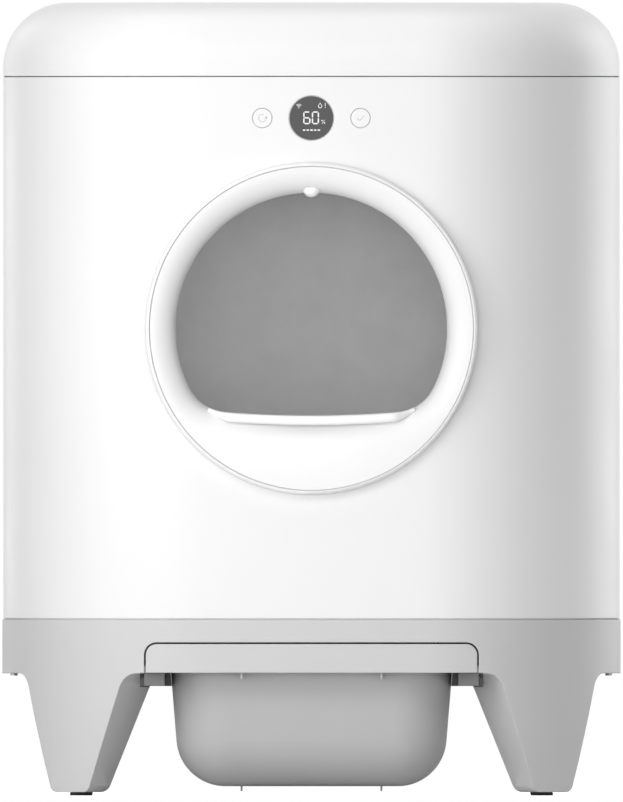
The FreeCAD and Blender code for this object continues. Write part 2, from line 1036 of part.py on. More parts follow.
def aperture_wire(radius, floor, corner, y):
    """Circle about the drum's axis with a nearly flat bottom and rounded lower corners."""
    rise = floor + corner
    side = math.sqrt((radius - corner) ** 2 - rise ** 2)
    turn = math.atan2(rise, side)
    right = point(side, y, axis_z + rise)
    top = point(0, y, axis_z + radius)
    edges = []
    spread = (math.pi / 2 + turn) / 2
    for sign in (1, -1):
        foot = point(sign * side, y, axis_z + floor)
        low = turn - spread
        middle = right + point(corner * math.cos(low), 0, corner * math.sin(low))
        knee = point(radius * math.cos(turn), y, axis_z + radius * math.sin(turn))
        high = (turn + math.pi / 2) / 2
        crown = point(radius * math.cos(high), y, axis_z + radius * math.sin(high))
        middle.x *= sign
        knee.x *= sign
        crown.x *= sign
        if sign == 1:
            edges.append(Part.Arc(foot, middle, knee).toShape())
            edges.append(Part.Arc(knee, crown, top).toShape())
        else:
            edges.append(Part.Arc(top, crown, knee).toShape())
            edges.append(Part.Arc(knee, middle, foot).toShape())
    low_left = point(-side, y, axis_z + floor)
    low_right = point(side, y, axis_z + floor)
    edges.append(Part.LineSegment(low_left, low_right).toShape())
    return Part.Wire(edges)


def sill_wire(y):
    """Aperture outline with its floor sagging on a large arc."""
    rise = sill_corner - sill_drop
    side = math.sqrt((aperture_radius - sill_corner) ** 2 - rise ** 2)
    sag = side ** 2 / (2 * sill_sag_radius)
    edges = aperture_wire(aperture_radius, sag - sill_drop, sill_corner, y).Edges[:4]
    left = edges[3].Vertexes[1].Point
    right = edges[0].Vertexes[0].Point
    low = point(0, y, axis_z - sill_drop)
    edges.append(Part.Arc(left, low, right).toShape())
    return Part.Wire(edges)


def sill_lip(start):
    """Lip along the aperture's floor, rounded at the front and sunk into the mouth behind."""
    front = start + sill_set_back
    low = axis_z - sill_drop - sill_height
    corner = sill_lip_corner
    lip = slab(
        [
            (-sill_lip_half, front, corner), (sill_lip_half, front, corner),
            (sill_lip_half, start + entrance_roll, 0), (-sill_lip_half, start + entrance_roll, 0),
        ],
        on_floor(low),
        Z * (sill_height - sill_lip_sink),
    )
    edges = [
        edge for edge in lip.Edges
        if edge.BoundBox.YMin < front + corner / 2
        and edge.BoundBox.YMax < front + corner + 1
        and edge.BoundBox.ZLength < 0.1
    ]
    return lip.makeFillet(sill_round, edges)


def entrance_ring():
    start = rim_y + ring_inset
    flange_y = shell_inner_front + ring_boss
    spigot_end = drum_front + spigot_reach
    inner = ring_radius - ring_wall
    core = aperture_radius / 3
    body = revolved(
        [
            (core, start, 0),
            (ring_radius, start, 0),
            (ring_radius, flange_y, 0),
            (ring_radius + ring_flange_width, flange_y, 0),
            (ring_radius + ring_flange_width, flange_y + ring_flange, 0),
            (inner, flange_y + ring_flange, 0),
            (inner, start + ring_wall, 0),
            (spigot_radius, start + ring_wall, inner - spigot_radius - 0.2),
            (spigot_radius, spigot_end, 0.8),
            (core, spigot_end, 0),
        ]
    )
    mouth = Part.Face(sill_wire(start - over)).extrude(Y * (spigot_end - start + 2 * over))
    body = body.cut(mouth)
    edges = [
        edge for edge in body.Edges
        if abs(edge.BoundBox.YMax - start) < 0.01
        and abs(edge.BoundBox.YMin - start) < 0.01
        and edge.BoundBox.ZMax < axis_z + aperture_radius + 1
    ]
    body = body.makeFillet(entrance_roll - 0.3, edges)
    pocket_y = start + sill_wall
    pocket = rod(aperture_radius, point(0, pocket_y, axis_z), Y, total_depth / 4)
    kept = aperture_wire(
        aperture_radius + ring_wall, -sill_drop - sill_height - ring_wall,
        sill_corner + ring_wall, pocket_y - over,
    )
    pocket = pocket.cut(Part.Face(kept).extrude(Y * (total_depth / 3)))
    body = fused([body, sill_lip(start)]).cut(pocket)
    shell_zone = plan_ring(
        base_step, base_step + shell_wall + clearance / 2, axis_z - drum_radius, axis_z + drum_radius
    ).cut(rod(ring_radius + ring_seam / 2, point(0, rim_y, axis_z), Y, total_depth))
    body = body.cut(shell_zone)
    ears = [
        rod(screw_hole, point(place.x, flange_y - 1, place.z), Y, ring_flange + 2)
        for place in ring_screw_places()
    ]
    return without(body, ears + [pod_body(clearance / 2)])


def pod_body(grow):
    """Round-nosed sensor housing that looks out of the roll above the aperture."""
    radius = pod_width / 2 + grow
    height = axis_z + aperture_radius - pod_hang + pod_width / 2
    front = rim_y + ring_inset + pod_set_back - grow
    body = rod(radius, point(0, front, height), Y, pod_depth + 2 * grow)
    rims = [edge for edge in body.Edges if abs(edge.BoundBox.YMax - front) < 0.01]
    return body.makeFillet(pod_dome + grow, rims)


def sensor_pod():
    return pod_body(0)


# Display and buttons


def display_lens():
    lens = rod(display_radius, point(0, shell_front + lens_sink, display_z), Y, lens_thickness)
    flange = rod(
        display_radius + lens_flange, point(0, shell_inner_front, display_z), Y, lens_thickness
    )
    neck = rod(display_radius, point(0, shell_front + 1, display_z), Y, shell_wall)
    return fused([lens, neck, flange])


def display_module():
    start = shell_inner_front + lens_thickness
    return slab(
        upright_corners(0, display_z, module_width, module_height, module_corner),
        on_front(start),
        Y * (board_standoff - lens_thickness),
    )


def display_board():
    y = shell_inner_front + board_standoff
    board = slab(
        upright_corners(0, display_z, board_width, board_height, board_corner),
        on_front(y),
        Y * board_thickness,
    )
    holes = [rod(screw_hole, point(x, y - 1, z), Y, board_thickness + 2) for x, z in board_post_places()]
    half = chip_size / 2
    back = y + board_thickness
    chip = box(-half, half, back, back + chip_height, display_z - half, display_z + half)
    plug = box(
        plug_shift, plug_shift + plug_length, back, back + plug_height,
        display_z - plug_width / 2, display_z + plug_width / 2,
    )
    return fused([without(board, holes), chip, plug])


def button_switches():
    y = shell_inner_front + board_standoff
    switches = []
    for side in (-1, 1):
        x = side * button_spacing
        half = switch_size / 2
        body = box(x - half, x + half, y - switch_height, y, display_z - half, display_z + half)
        switches.append(body)
    return Part.makeCompound(switches)


def button_cap(side):
    x = side * button_spacing
    cap = rod(button_radius, point(x, shell_front, display_z), Y, shell_wall + clearance + button_flange)
    rims = [edge for edge in cap.Edges if abs(edge.CenterOfMass.y - shell_front) < 0.01]
    cap = cap.makeFillet(button_round, [edge for edge in rims if edge.Length > button_radius * 6])
    flange = rod(
        button_radius + button_flange_width, point(x, shell_inner_front + clearance, display_z), Y, button_flange
    )
    stem_end = shell_inner_front + board_standoff - switch_height - button_travel - clearance / 2
    hollow = rod(
        button_radius - button_wall, point(x, shell_front + button_wall, display_z), Y, shell_wall + over
    )
    stem = rod(button_stem_radius, point(x, shell_front + 1, display_z), Y, stem_end - shell_front - 1)
    return fused([fused([cap, flange]).cut(hollow), stem])


# Drum


def drum_shell():
    """Whole globe: round shoulders, an open mouth with a collar, and a closed back."""
    inner_shoulder = drum_shoulder - drum_wall
    collar = mouth_radius + mouth_collar_wall
    outer = [
        (mouth_radius, drum_front - mouth_collar_front, 1.2),
        (collar, drum_front - mouth_collar_front, 1.2),
        (collar, drum_front, 0),
        (drum_radius, drum_front, drum_shoulder),
        (drum_radius, drum_back, drum_shoulder),
        (0, drum_back, 0),
        (0, drum_back - drum_wall, 0),
        (drum_inner_radius, drum_back - drum_wall, inner_shoulder),
        (drum_inner_radius, drum_front + drum_wall, inner_shoulder),
        (collar, drum_front + drum_wall, 0),
        (collar, drum_front + mouth_collar_depth, 1.2),
        (mouth_radius, drum_front + mouth_collar_depth, 1.2),
    ]
    shell = revolved(outer)
    for y in (front_track_y, rear_track_y):
        low = y - track_width / 2
        high = y + track_width / 2
        band = revolved(
            [
                (drum_radius - drum_wall / 2, low, 0),
                (track_radius, low, 0.8),
                (track_radius, high, 0.8),
                (drum_radius - drum_wall / 2, high, 0),
            ]
        )
        shell = shell.fuse(band)
    return shell.removeSplitter()


def port_prism(grow, low, high):
    """Radial block with the port's rounded outline, grown by grow."""
    half = port_width / 2 + grow
    start = port_y - grow
    end = port_y + port_length + grow
    corner = port_corner + grow
    block = slab(
        [(-half, start, corner), (half, start, corner), (half, end, corner), (-half, end, corner)],
        on_floor(axis_z + low),
        Z * (high - low),
    )
    return turned_to(block, port_angle)


def split_plane_y():
    return drum_front + drum_split


def drum_screw_places():
    y = split_plane_y() + joint_lap / 2
    return [(360 * index / drum_screw_count + drum_screw_turn, y) for index in range(drum_screw_count)]


def screw_tools(radius):
    tools = []
    for angle, y in drum_screw_places():
        start = polar(drum_inner_radius - 2 * joint_lap_wall, angle, y)
        tools.append(rod(radius, start, outward(angle), 3 * over))
    return tools


def drum_front_half(shell):
    y = split_plane_y()
    half = shell.common(box(-half_width, half_width, rim_y, y, 0, top_z))
    outer = drum_inner_radius - lap_play
    lap = revolved(
        [
            (outer - joint_lap_wall, y - joint_lap, 0),
            (drum_inner_radius + bite, y - joint_lap, 0),
            (drum_inner_radius + bite, y - joint_lap / 2, 0),
            (outer, y, 0),
            (outer, y + joint_lap, lap_round),
            (outer - joint_lap_wall, y + joint_lap, lap_round),
        ]
    )
    return without(fused([half, lap]), screw_tools(screw_radius))


def magnet_place():
    return polar(drum_radius - magnet_sink, -90, gear_y + gear_width + magnet_shift)


def drum_rear_half(shell):
    y = split_plane_y()
    half = shell.common(box(-half_width, half_width, y, back_y, 0, top_z))
    tools = screw_tools(screw_hole)
    flare = (screw_head_radius + screw_play + head_play - screw_hole) / countersink
    far = countersink + over
    for angle, place in drum_screw_places():
        start = polar(drum_radius - countersink, angle, place)
        tools.append(Part.makeCone(screw_hole, screw_hole + flare * far, far, start, outward(angle)))
    tools.append(port_prism(0, drum_radius / 2, drum_radius + over))
    tools.append(rod(magnet_radius, magnet_place(), outward(-90), over * 2))
    return without(half, tools)


def drum_screws():
    screws = []
    for angle, y in drum_screw_places():
        inner = drum_inner_radius - lap_play - joint_lap_wall
        low = drum_radius - countersink - countersink_play
        shank = rod(screw_radius, polar(inner, angle, y), outward(angle), low - inner)
        head = Part.makeCone(
            screw_radius, screw_head_radius, countersink - countersink_play,
            polar(low, angle, y), outward(angle),
        )
        screws.append(fused([shank, head]))
    return Part.makeCompound(screws)


def port_frame():
    """Frame set in the port, which stiffens its edge and wipes the chute seal."""
    block = port_prism(-clearance / 2, 0, drum_radius * 2).cut(
        port_prism(-port_frame_width, -over, drum_radius * 2 + over)
    )
    wall = drum_bore(drum_radius - clearance).cut(drum_bore(drum_radius - port_frame_depth))
    return block.common(wall)


def sieve_plate():
    inner = revolved(
        [
            (0, drum_front + drum_wall + clearance, 0),
            (drum_inner_radius - clearance, drum_front + drum_wall + clearance, drum_shoulder - drum_wall),
            (drum_inner_radius - clearance, drum_back - drum_wall - clearance, drum_shoulder - drum_wall),
            (0, drum_back - drum_wall - clearance, 0),
        ]
    )
    lap = rod(
        drum_inner_radius,
        point(0, split_plane_y() - joint_lap - bite, axis_z), Y, 2 * (joint_lap + bite),
    ).cut(
        rod(
            drum_inner_radius - joint_lap_wall - bite,
            point(0, split_plane_y() - joint_lap - over, axis_z), Y, 2 * joint_lap + 2 * over,
        )
    )
    plate = box(
        -drum_radius, drum_radius, drum_front, drum_back,
        axis_z + sieve_distance, axis_z + sieve_distance + sieve_thickness,
    )
    plate = turned_to(plate, sieve_angle).common(inner).cut(lap)
    slots = []
    first = drum_front + sieve_margin
    count = int((drum_length - 2 * sieve_margin) / slot_pitch)
    half = slot_width / 2
    for index in range(count):
        y = first + index * slot_pitch
        slot = slab(
            [
                (-slot_shift - slot_length / 2, y - half, half - 0.01),
                (-slot_shift + slot_length / 2, y - half, half - 0.01),
                (-slot_shift + slot_length / 2, y + half, half - 0.01),
                (-slot_shift - slot_length / 2, y + half, half - 0.01),
            ],
            on_floor(axis_z + sieve_distance - over),
            Z * (sieve_thickness + 2 * over),
        )
        slots.append(turned_to(slot, sieve_angle))
    return plate.cut(Part.makeCompound(slots))


# Gears


def involute(base, radius):
    """Angle swept by an involute of a base circle out to a radius."""
    if radius <= base:
        return 0.0
    roll = math.sqrt((radius / base) ** 2 - 1)
    return roll - math.atan(roll)


def gear_blank(teeth, backlash, width):
    """Spur gear at the origin with its axis along Y and a tooth on +X."""
    pitch = teeth * gear_module / 2
    base = pitch * math.cos(math.radians(pressure_angle))
    tip = pitch + gear_module
    root = pitch - gear_dedendum * gear_module
    start = max(root, base)
    half_pitch = math.pi / (2 * teeth) - backlash / (2 * pitch)
    at_pitch = involute(base, pitch)

    def flank(radius, side, tooth):
        turn = tooth * 2 * math.pi / teeth + side * (half_pitch + at_pitch - involute(base, radius))
        return point(radius * math.cos(turn), 0, radius * math.sin(turn))

    def foot(side, tooth):
        turn = tooth * 2 * math.pi / teeth + side * (half_pitch + at_pitch)
        return point(root * math.cos(turn), 0, root * math.sin(turn))

    edges = []
    middle = (start + tip) / 2
    for tooth in range(teeth):
        low = flank(start, -1, tooth)
        high = flank(tip, -1, tooth)
        far_high = flank(tip, 1, tooth)
        far_low = flank(start, 1, tooth)
        if start > root + 1e-6:
            edges.append(Part.LineSegment(foot(-1, tooth), low).toShape())
        edges.append(Part.Arc(low, flank(middle, -1, tooth), high).toShape())
        edges.append(Part.LineSegment(high, far_high).toShape())
        edges.append(Part.Arc(far_high, flank(middle, 1, tooth), far_low).toShape())
        if start > root + 1e-6:
            edges.append(Part.LineSegment(far_low, foot(1, tooth)).toShape())
            far_low = foot(1, tooth)
            next_low = foot(-1, tooth + 1)
        else:
            next_low = flank(start, -1, tooth + 1)
        edges.append(Part.LineSegment(far_low, next_low).toShape())
    return Part.Face(Part.Wire(edges)).extrude(Y * width)


def ring_gear():
    gear = gear_blank(ring_teeth, tooth_backlash, gear_width)
    gear = gear.cut(rod(drum_radius, point(0, -1, 0), Y, gear_width + 2))
    return gear.translated(point(0, gear_y, axis_z))


def pinion_centre(y):
    return polar(ring_pitch + pinion_pitch, pinion_angle, y)


def drive_pinion():
    width = gear_width + pinion_extra_width
    gear = gear_blank(pinion_teeth, tooth_backlash, width)
    # The ring's tooth phase on the line of centres sets how far the pinion is turned.
    ring_phase = (pinion_angle * ring_teeth / 360) % 1
    pinion_phase = ((pinion_angle + 180) * pinion_teeth / 360) % 1
    turn = (pinion_phase - 0.5 + ring_phase) * 360 / pinion_teeth
    gear.rotate(point(0, 0, 0), Y, -turn)
    gear.translate(pinion_centre(gear_y - pinion_extra_width / 2))
    hub = rod(
        pinion_hub_radius, pinion_centre(gear_y + gear_width + pinion_extra_width / 2),
        Y, pinion_hub_length,
    )
    shaft = rod(
        shaft_radius, pinion_centre(gear_y - shaft_nose),
        Y, gearbox_y() - gear_y + shaft_nose + gearbox_length / 2,
    )
    return fused([gear, hub, shaft])


def gearbox_y():
    front = gear_y + gear_width + pinion_extra_width / 2
    return front + pinion_hub_length + gearbox_gap + motor_plate


def gearbox():
    centre = pinion_centre(gearbox_y())
    case = slab(
        upright_corners(centre.x, centre.z, gearbox_size, gearbox_size, gearbox_corner),
        on_front(gearbox_y()),
        Y * gearbox_length,
    )
    bore = rod(shaft_radius + axle_play, centre - Y, Y, gearbox_length / 2 + 1 + clearance)
    return case.cut(bore)


def drive_motor():
    start = gearbox_y() + gearbox_length
    centre = pinion_centre(start)
    can = rod(motor_radius, centre, Y, motor_length)
    ends = [edge for edge in can.Edges if abs(edge.CenterOfMass.y - start - motor_length) < 0.01]
    can = can.makeFillet(motor_round, [edge for edge in ends if edge.Length > motor_radius * 6])
    tail = rod(motor_tail_radius, centre + Y * motor_length, Y, motor_tail)
    return fused([can, tail])


def motor_bracket():
    y = gearbox_y() - motor_plate
    centre = pinion_centre(y)
    half = gearbox_size / 2 + motor_plate_margin
    plate = slab(
        [
            (centre.x - half, deck_top, 0), (centre.x + half, deck_top, 0),
            (centre.x + half, centre.z + half, motor_plate_corner),
            (centre.x - half, centre.z + half, motor_plate_corner),
        ],
        on_front(y),
        Y * motor_plate,
    )
    foot = box(centre.x - half, centre.x + half, y, y + gearbox_length, deck_top, deck_top + motor_plate)
    ribs = []
    for x in (centre.x - half, centre.x + half - motor_plate):
        ribs.append(
            slab(
                [
                    (y + 1, deck_top + 1, 0),
                    (y + gearbox_length, deck_top + 1, 0),
                    (y + gearbox_length, deck_top + motor_plate + 1, 0),
                    (y + motor_plate, centre.z - gearbox_size / 2 - 1, 0),
                    (y + 1, centre.z - gearbox_size / 2 - 1, 0),
                ],
                on_side(x),
                X * motor_plate,
            )
        )
    frame = fused([plate, foot] + ribs)
    return frame.cut(rod(shaft_radius + 2, centre - Y, Y, motor_plate + 2))


# Drawer


def bin_corners(draw_in, bottom_share):
    half = bin_half - draw_in - bin_draft * bottom_share
    low = bin_front_y + draw_in + bin_draft * bottom_share
    high = bin_back_y - draw_in - bin_draft * bottom_share
    corner = bin_corner - draw_in
    return [(-half, low, corner), (half, low, corner), (half, high, corner), (-half, high, corner)]


def bin_block(draw_in, low, high):
    bottom = rounded_wire(bin_corners(draw_in, 1), on_floor(low))
    top = rounded_wire(bin_corners(draw_in, 0), on_floor(high))
    block = Part.makeLoft([bottom, top], True, True)
    rims = [edge for edge in block.Edges if abs(edge.BoundBox.ZMax - low) < 0.01]
    return block.makeFillet(bin_bottom_round - draw_in, rims)


def waste_bin():
    low = bin_floor_gap
    outer = bin_block(0, low, bin_top)
    inner = bin_block(bin_wall, low + bin_wall, bin_top + 0.001)
    skids = []
    for side in (-1, 1):
        x = side * skid_spacing
        skids.append(
            box(
                x - skid_width / 2, x + skid_width / 2,
                bin_front_y + bin_bottom_round + bin_draft, bin_back_y - bin_bottom_round - bin_draft,
                low - skid_height, low + bin_wall / 2,
            )
        )
        skids.append(
            box(
                x - skid_width / 2, x + skid_width / 2,
                front_y + panel_wall, bin_front_y + bin_draft,
                panel_z - gusset_drop, bin_top - gusset_drop,
            )
        )
    ear_top = bin_top - bin_ear_drop
    ear = box(
        bin_half - bin_wall, bin_half + bin_ear,
        bin_front_y + bin_corner, bin_back_y - bin_corner,
        ear_top - bin_ear_thickness, ear_top,
    )
    body = fused([outer] + skids + both_sides(ear))
    return body.cut(inner)


def bin_front():
    """Panel that closes the drawer opening and follows the base's curved front."""
    outline = slab(
        [
            (-panel_half, panel_z, panel_edge),
            (panel_half, panel_z, panel_edge),
            (panel_half, panel_z + panel_height, panel_corner),
            (-panel_half, panel_z + panel_height, panel_corner),
        ],
        on_front(front_y - over),
        Y * (leg_depth + over),
    )
    skin = plan_ring(0, panel_wall, panel_z - over, base_top).common(outline)
    half = bin_half - bin_corner
    shelf = box(
        -half, half, front_y + panel_wall - bite, bin_front_y + bin_wall,
        bin_top, bin_top + bag_frame_height,
    )
    bin_room = bin_block(-0.05, bin_floor_gap, bin_top)
    return fused([skin, shelf]).cut(bin_room)


def bag_frame():
    """Ring on the bin's rim that clamps the bag."""
    low = bin_top
    shelf_room = box(
        -bin_half, bin_half, front_y, bin_front_y + bin_wall + 0.2, low - 1, low + over
    )
    outer = slab(bin_corners(0, 0), on_floor(low), Z * bag_frame_height)
    inner = slab(bin_corners(bag_frame_width, 0), on_floor(low - over), Z * 4 * over)
    return outer.cut(inner).cut(shelf_room)


def drawer_rails():
    inner = bin_half + rail_gap
    outer = panel_half + panel_gap - clearance
    low = arch_height - shelf_drop + shelf_thickness
    high = rail_top()
    wall = rail_wall
    start = front_y + shelf_setback + shelf_stop + clearance
    rail = slab(
        [
            (inner, low, 0), (outer, low, 0), (outer, low + wall, 0), (inner + wall, low + wall, 0),
            (inner + wall, high - wall, 0), (outer, high - wall, 0), (outer, high, 0), (inner, high, 0),
        ],
        on_front(start),
        Y * (bin_back_y - start),
    )
    return Part.makeCompound(both_sides(rail))


def drawer_sensor():
    x = bin_half - sensor_inset
    y = bin_back_y + sensor_gap
    half = sensor_width / 2
    deep = sensor_depth / 2
    return box(x - half, x + half, y - deep, y + deep, deck_under - sensor_height, deck_under)


# Rear equipment


def main_post_places():
    x = main_board_width / 2 - main_post_inset
    z = main_board_height / 2 - main_post_inset
    return [
        (main_board_shift + sx * x, main_board_rise + sz * z)
        for sx in (-1, 1)
        for sz in (-1, 1)
    ]


def main_board():
    y = shell_inner_back - main_standoff - board_thickness
    x = main_board_shift
    z = main_board_rise
    right = x + main_board_width / 2
    left = x - main_board_width / 2
    board = slab(
        upright_corners(x, z, main_board_width, main_board_height, main_board_corner),
        on_front(y),
        Y * board_thickness,
    )
    holes = [rod(screw_hole, point(px, y - 1, pz), Y, board_thickness + 2) for px, pz in main_post_places()]
    half = main_chip / 2
    chip = box(x - half, x + half, y - main_chip_height, y, z - half, z + half)
    relay_x = right - relay_side_inset
    relay_z = z + main_board_height / 2 - relay_top_inset
    relay = box(relay_x - relay_width, relay_x, y - relay_depth, y, relay_z - relay_height, relay_z)
    plugs = []
    low = z - main_board_height / 2 + socket_row_low_inset
    for step in range(socket_row_count):
        start = left + socket_row_side_inset + socket_row_pitch * step
        plugs.append(
            box(start, start + socket_row_width, y - socket_row_depth, y, low, low + socket_row_height)
        )
    return fused([without(board, holes), chip, relay] + plugs)


def dc_socket():
    z = base_top + socket_rise
    start = point(socket_shift, shell_back - socket_length, z)
    body = rod(socket_radius, start, Y, socket_length)
    nut_start = point(socket_shift, shell_inner_back - socket_nut_height, z)
    nut = rod(socket_radius + socket_nut_wall, nut_start, Y, socket_nut_height)
    hollow = rod(socket_bore, point(socket_shift, shell_back - socket_depth, z), Y, socket_depth + 1)
    pin = rod(
        socket_pin_radius, point(socket_shift, shell_back - socket_depth - bite, z), Y, socket_depth
    )
    return fused([fused([body, nut]).cut(hollow), pin])


def tank_y():
    return shell_inner_back - tank_depth - tank_back_gap


def spray_tank():
    low = tank_ledge_z()
    half = tank_width / 2
    body = slab(
        [
            (tank_shift - half, tank_y(), tank_corner),
            (tank_shift + half, tank_y(), tank_corner),
            (tank_shift + half, tank_y() + tank_depth, tank_corner),
            (tank_shift - half, tank_y() + tank_depth, tank_corner),
        ],
        on_floor(low),
        Z * tank_height,
    )
    rims = [edge for edge in body.Edges if abs(edge.CenterOfMass.z - low - tank_height) < 0.01]
    body = body.makeFillet(tank_round, rims)
    middle = tank_y() + tank_depth / 2
    neck_radius = cap_radius - cap_wall - cap_play
    neck = rod(neck_radius, point(tank_shift, middle, low + tank_height - 1), Z, neck_height + 1)
    corner = tank_corner - tank_wall
    inner = slab(
        [
            (tank_shift - half + tank_wall, tank_y() + tank_wall, corner),
            (tank_shift + half - tank_wall, tank_y() + tank_wall, corner),
            (tank_shift + half - tank_wall, tank_y() + tank_depth - tank_wall, corner),
            (tank_shift - half + tank_wall, tank_y() + tank_depth - tank_wall, corner),
        ],
        on_floor(low + tank_wall),
        Z * (tank_height - tank_wall - tank_shoulder),
    )
    bore_start = point(tank_shift, middle, low + tank_height - 2 * over)
    bore = rod(neck_radius - neck_wall, bore_start, Z, 4 * over)
    return fused([body, neck]).cut(inner).cut(bore)


def tank_cap():
    start = tank_ledge_z() + tank_height
    centre = point(tank_shift, tank_y() + tank_depth / 2, start)
    cap = rod(cap_radius, centre, Z, cap_height)
    ribs = [
        rod(cap_rib_radius, centre + point(cap_radius * math.cos(a), cap_radius * math.sin(a), 0), Z, cap_height)
        for a in (2 * math.pi * index / cap_rib_count for index in range(cap_rib_count))
    ]
    cap = fused([cap] + ribs)
    return cap.cut(rod(cap_radius - cap_wall, centre - Z, Z, cap_depth + 1))


def pump_place():
    return point(
        tank_shift + pump_shift, tank_y() + tank_depth / 2, tank_ledge_z() - tank_shelf - pump_length
    )


def spray_pump():
    body = rod(pump_radius, pump_place(), Z, pump_length)
    half = pump_head / 2
    head = box(
        pump_place().x - half, pump_place().x + half, pump_place().y - half, pump_place().y + half,
        pump_place().z - half, pump_place().z,
    )
    return fused([body, head])


def nozzle_place():
    return point(pump_place().x, port_y + port_length + chute_play + chute_flange + nozzle_gap, deck_top)


def spray_nozzle():
    place = nozzle_place()
    foot = rod(nozzle_foot_radius, place, Z, nozzle_foot_height)
    post = rod(nozzle_post_radius, place, Z, nozzle_post_height)
    start = place + Z * nozzle_rise - Y * nozzle_back
    tip = Part.makeCone(nozzle_radius, nozzle_tip_radius, nozzle_length, start, Z * nozzle_tilt - Y)
    return fused([foot, post, tip])


def spray_tube():
    """Tube from the pump down to the deck and forward to the nozzle, bent once on an arc."""
    start = pump_place() - Z * (pump_head / 2)
    turn = tube_bend
    low = deck_top + tube_lift
    bend = point(start.x, start.y, low + turn)
    level = point(start.x, start.y - turn, low)
    part_turn = turn * (1 - math.sqrt(0.5))
    middle = point(start.x, start.y - part_turn, low + part_turn)
    end = point(start.x, nozzle_place().y + nozzle_post_radius, low)
    path = Part.Wire(
        [
            Part.LineSegment(start, bend).toShape(),
            Part.Arc(bend, middle, level).toShape(),
            Part.LineSegment(level, end).toShape(),
        ]
    )
    ring = Part.Wire([Part.makeCircle(tube_radius, start, Z)])
    return path.makePipeShell([ring], True, False)


def centred_box(place, width, depth, low, high):
    """Upright box round a place on the floor plan."""
    return box(
        place.x - width / 2, place.x + width / 2, place.y - depth / 2, place.y + depth / 2, low, high
    )


def home_sensor():
    place = magnet_place()
    top = axis_z - drum_radius - home_gap
    board = centred_box(place, home_board_width, home_board_thickness, deck_top, top - home_board_drop)
    head = centred_box(place, home_head_width, home_head_depth, top - home_head_height, top)
    foot = centred_box(place, home_foot_width, home_foot_depth, deck_top, deck_top + home_foot_height)
    return fused([board, head, foot])


def home_magnet():
    return rod(magnet_radius, magnet_place(), outward(-90), magnet_length)


# Screws


def screw(start, axis, length, head_height):
    """Pan-head screw; start is the underside of its head and axis points along the shank."""
    shank = rod(screw_radius, start, axis, length)
    head = rod(screw_head_radius, start - axis * head_height, axis, head_height)
    return fused([shank, head])


def case_screws():
    screws = []
    for x, y in deck_post_places():
        length = deck_thickness + deck_screw_grip
        screws.append(screw(point(x, y, deck_top), Z * -1, length, screw_head_height))
    for x, y in shell_boss_places():
        length = base_top - arch_height + foot_screw_grip
        screws.append(screw(point(x, y, arch_height), Z, length, screw_head_height))
    x = shell_inner_half - post_radius + 1
    for side in (-1, 1):
        for z in lug_heights():
            start = point(side * x, split_y + lug_length, z)
            screws.append(screw(start, Y * -1, 2 * lug_length - 3, screw_head_height))
    return Part.makeCompound(screws)


def small_screws():
    screws = []
    y = shell_inner_front + ring_boss + ring_flange
    for place in ring_screw_places():
        start = point(place.x, y, place.z)
        screws.append(screw(start, Y * -1, ring_flange + ring_screw_grip, screw_head_height))
    y = shell_inner_front + board_standoff + board_thickness
    for x, z in board_post_places():
        screws.append(screw(point(x, y, z), Y * -1, board_thickness + board_screw_grip, screw_head_height))
    y = shell_inner_back - main_standoff - board_thickness
    for x, z in main_post_places():
        screws.append(screw(point(x, y, z), Y, board_thickness + board_screw_grip, screw_head_height))
    return Part.makeCompound(screws)


def build():
    shell = drum_shell()
    nodes = {
        "base_frame": base_frame(),
        "foot_pads": foot_pads(),
        "load_cells": load_cells(),
        "deck_plate": deck_plate(),
        "waste_chute": waste_chute(),
        "chute_seal": chute_seal(),
        "roller_brackets": roller_brackets(),
        "roller_axles": roller_axles(),
        "front_shell": front_shell(),
        "rear_shell": rear_shell(),
        "lid_shell": lid_shell(),
        "lid_seal": lid_seal(),
        "entrance_ring": entrance_ring(),
        "sensor_pod": sensor_pod(),
        "display_lens": display_lens(),
        "display_module": display_module(),
        "display_board": display_board(),
        "button_switches": button_switches(),
        "menu_button": button_cap(-1),
        "ok_button": button_cap(1),
        "drum_front_half": drum_front_half(shell),
        "drum_rear_half": drum_rear_half(shell),
        "drum_screws": drum_screws(),
        "port_frame": port_frame(),
        "sieve_plate": sieve_plate(),
        "ring_gear": ring_gear(),
        "home_magnet": home_magnet(),
        "home_sensor": home_sensor(),
        "drive_pinion": drive_pinion(),
        "gearbox": gearbox(),
        "drive_motor": drive_motor(),
        "motor_bracket": motor_bracket(),
        "waste_bin": waste_bin(),
        "bin_front": bin_front(),
        "bag_frame": bag_frame(),
        "drawer_rails": drawer_rails(),
        "drawer_sensor": drawer_sensor(),
        "main_board": main_board(),
        "dc_socket": dc_socket(),
        "spray_tank": spray_tank(),
        "tank_cap": tank_cap(),
        "spray_pump": spray_pump(),
        "spray_nozzle": spray_nozzle(),
        "spray_tube": spray_tube(),
        "case_screws": case_screws(),
        "small_screws": small_screws(),
    }
    for name, angle, y in roller_places():
        nodes["roller_" + name] = roller_hub(angle, y)
        nodes["tyre_" + name] = roller_tyre(angle, y)
    return nodes


def main():
    os.makedirs("parts", exist_ok=True)
    for name, shape in build().items():
        shape.exportStep("parts/" + name + ".step")


if __name__ == "__main__":
    main()
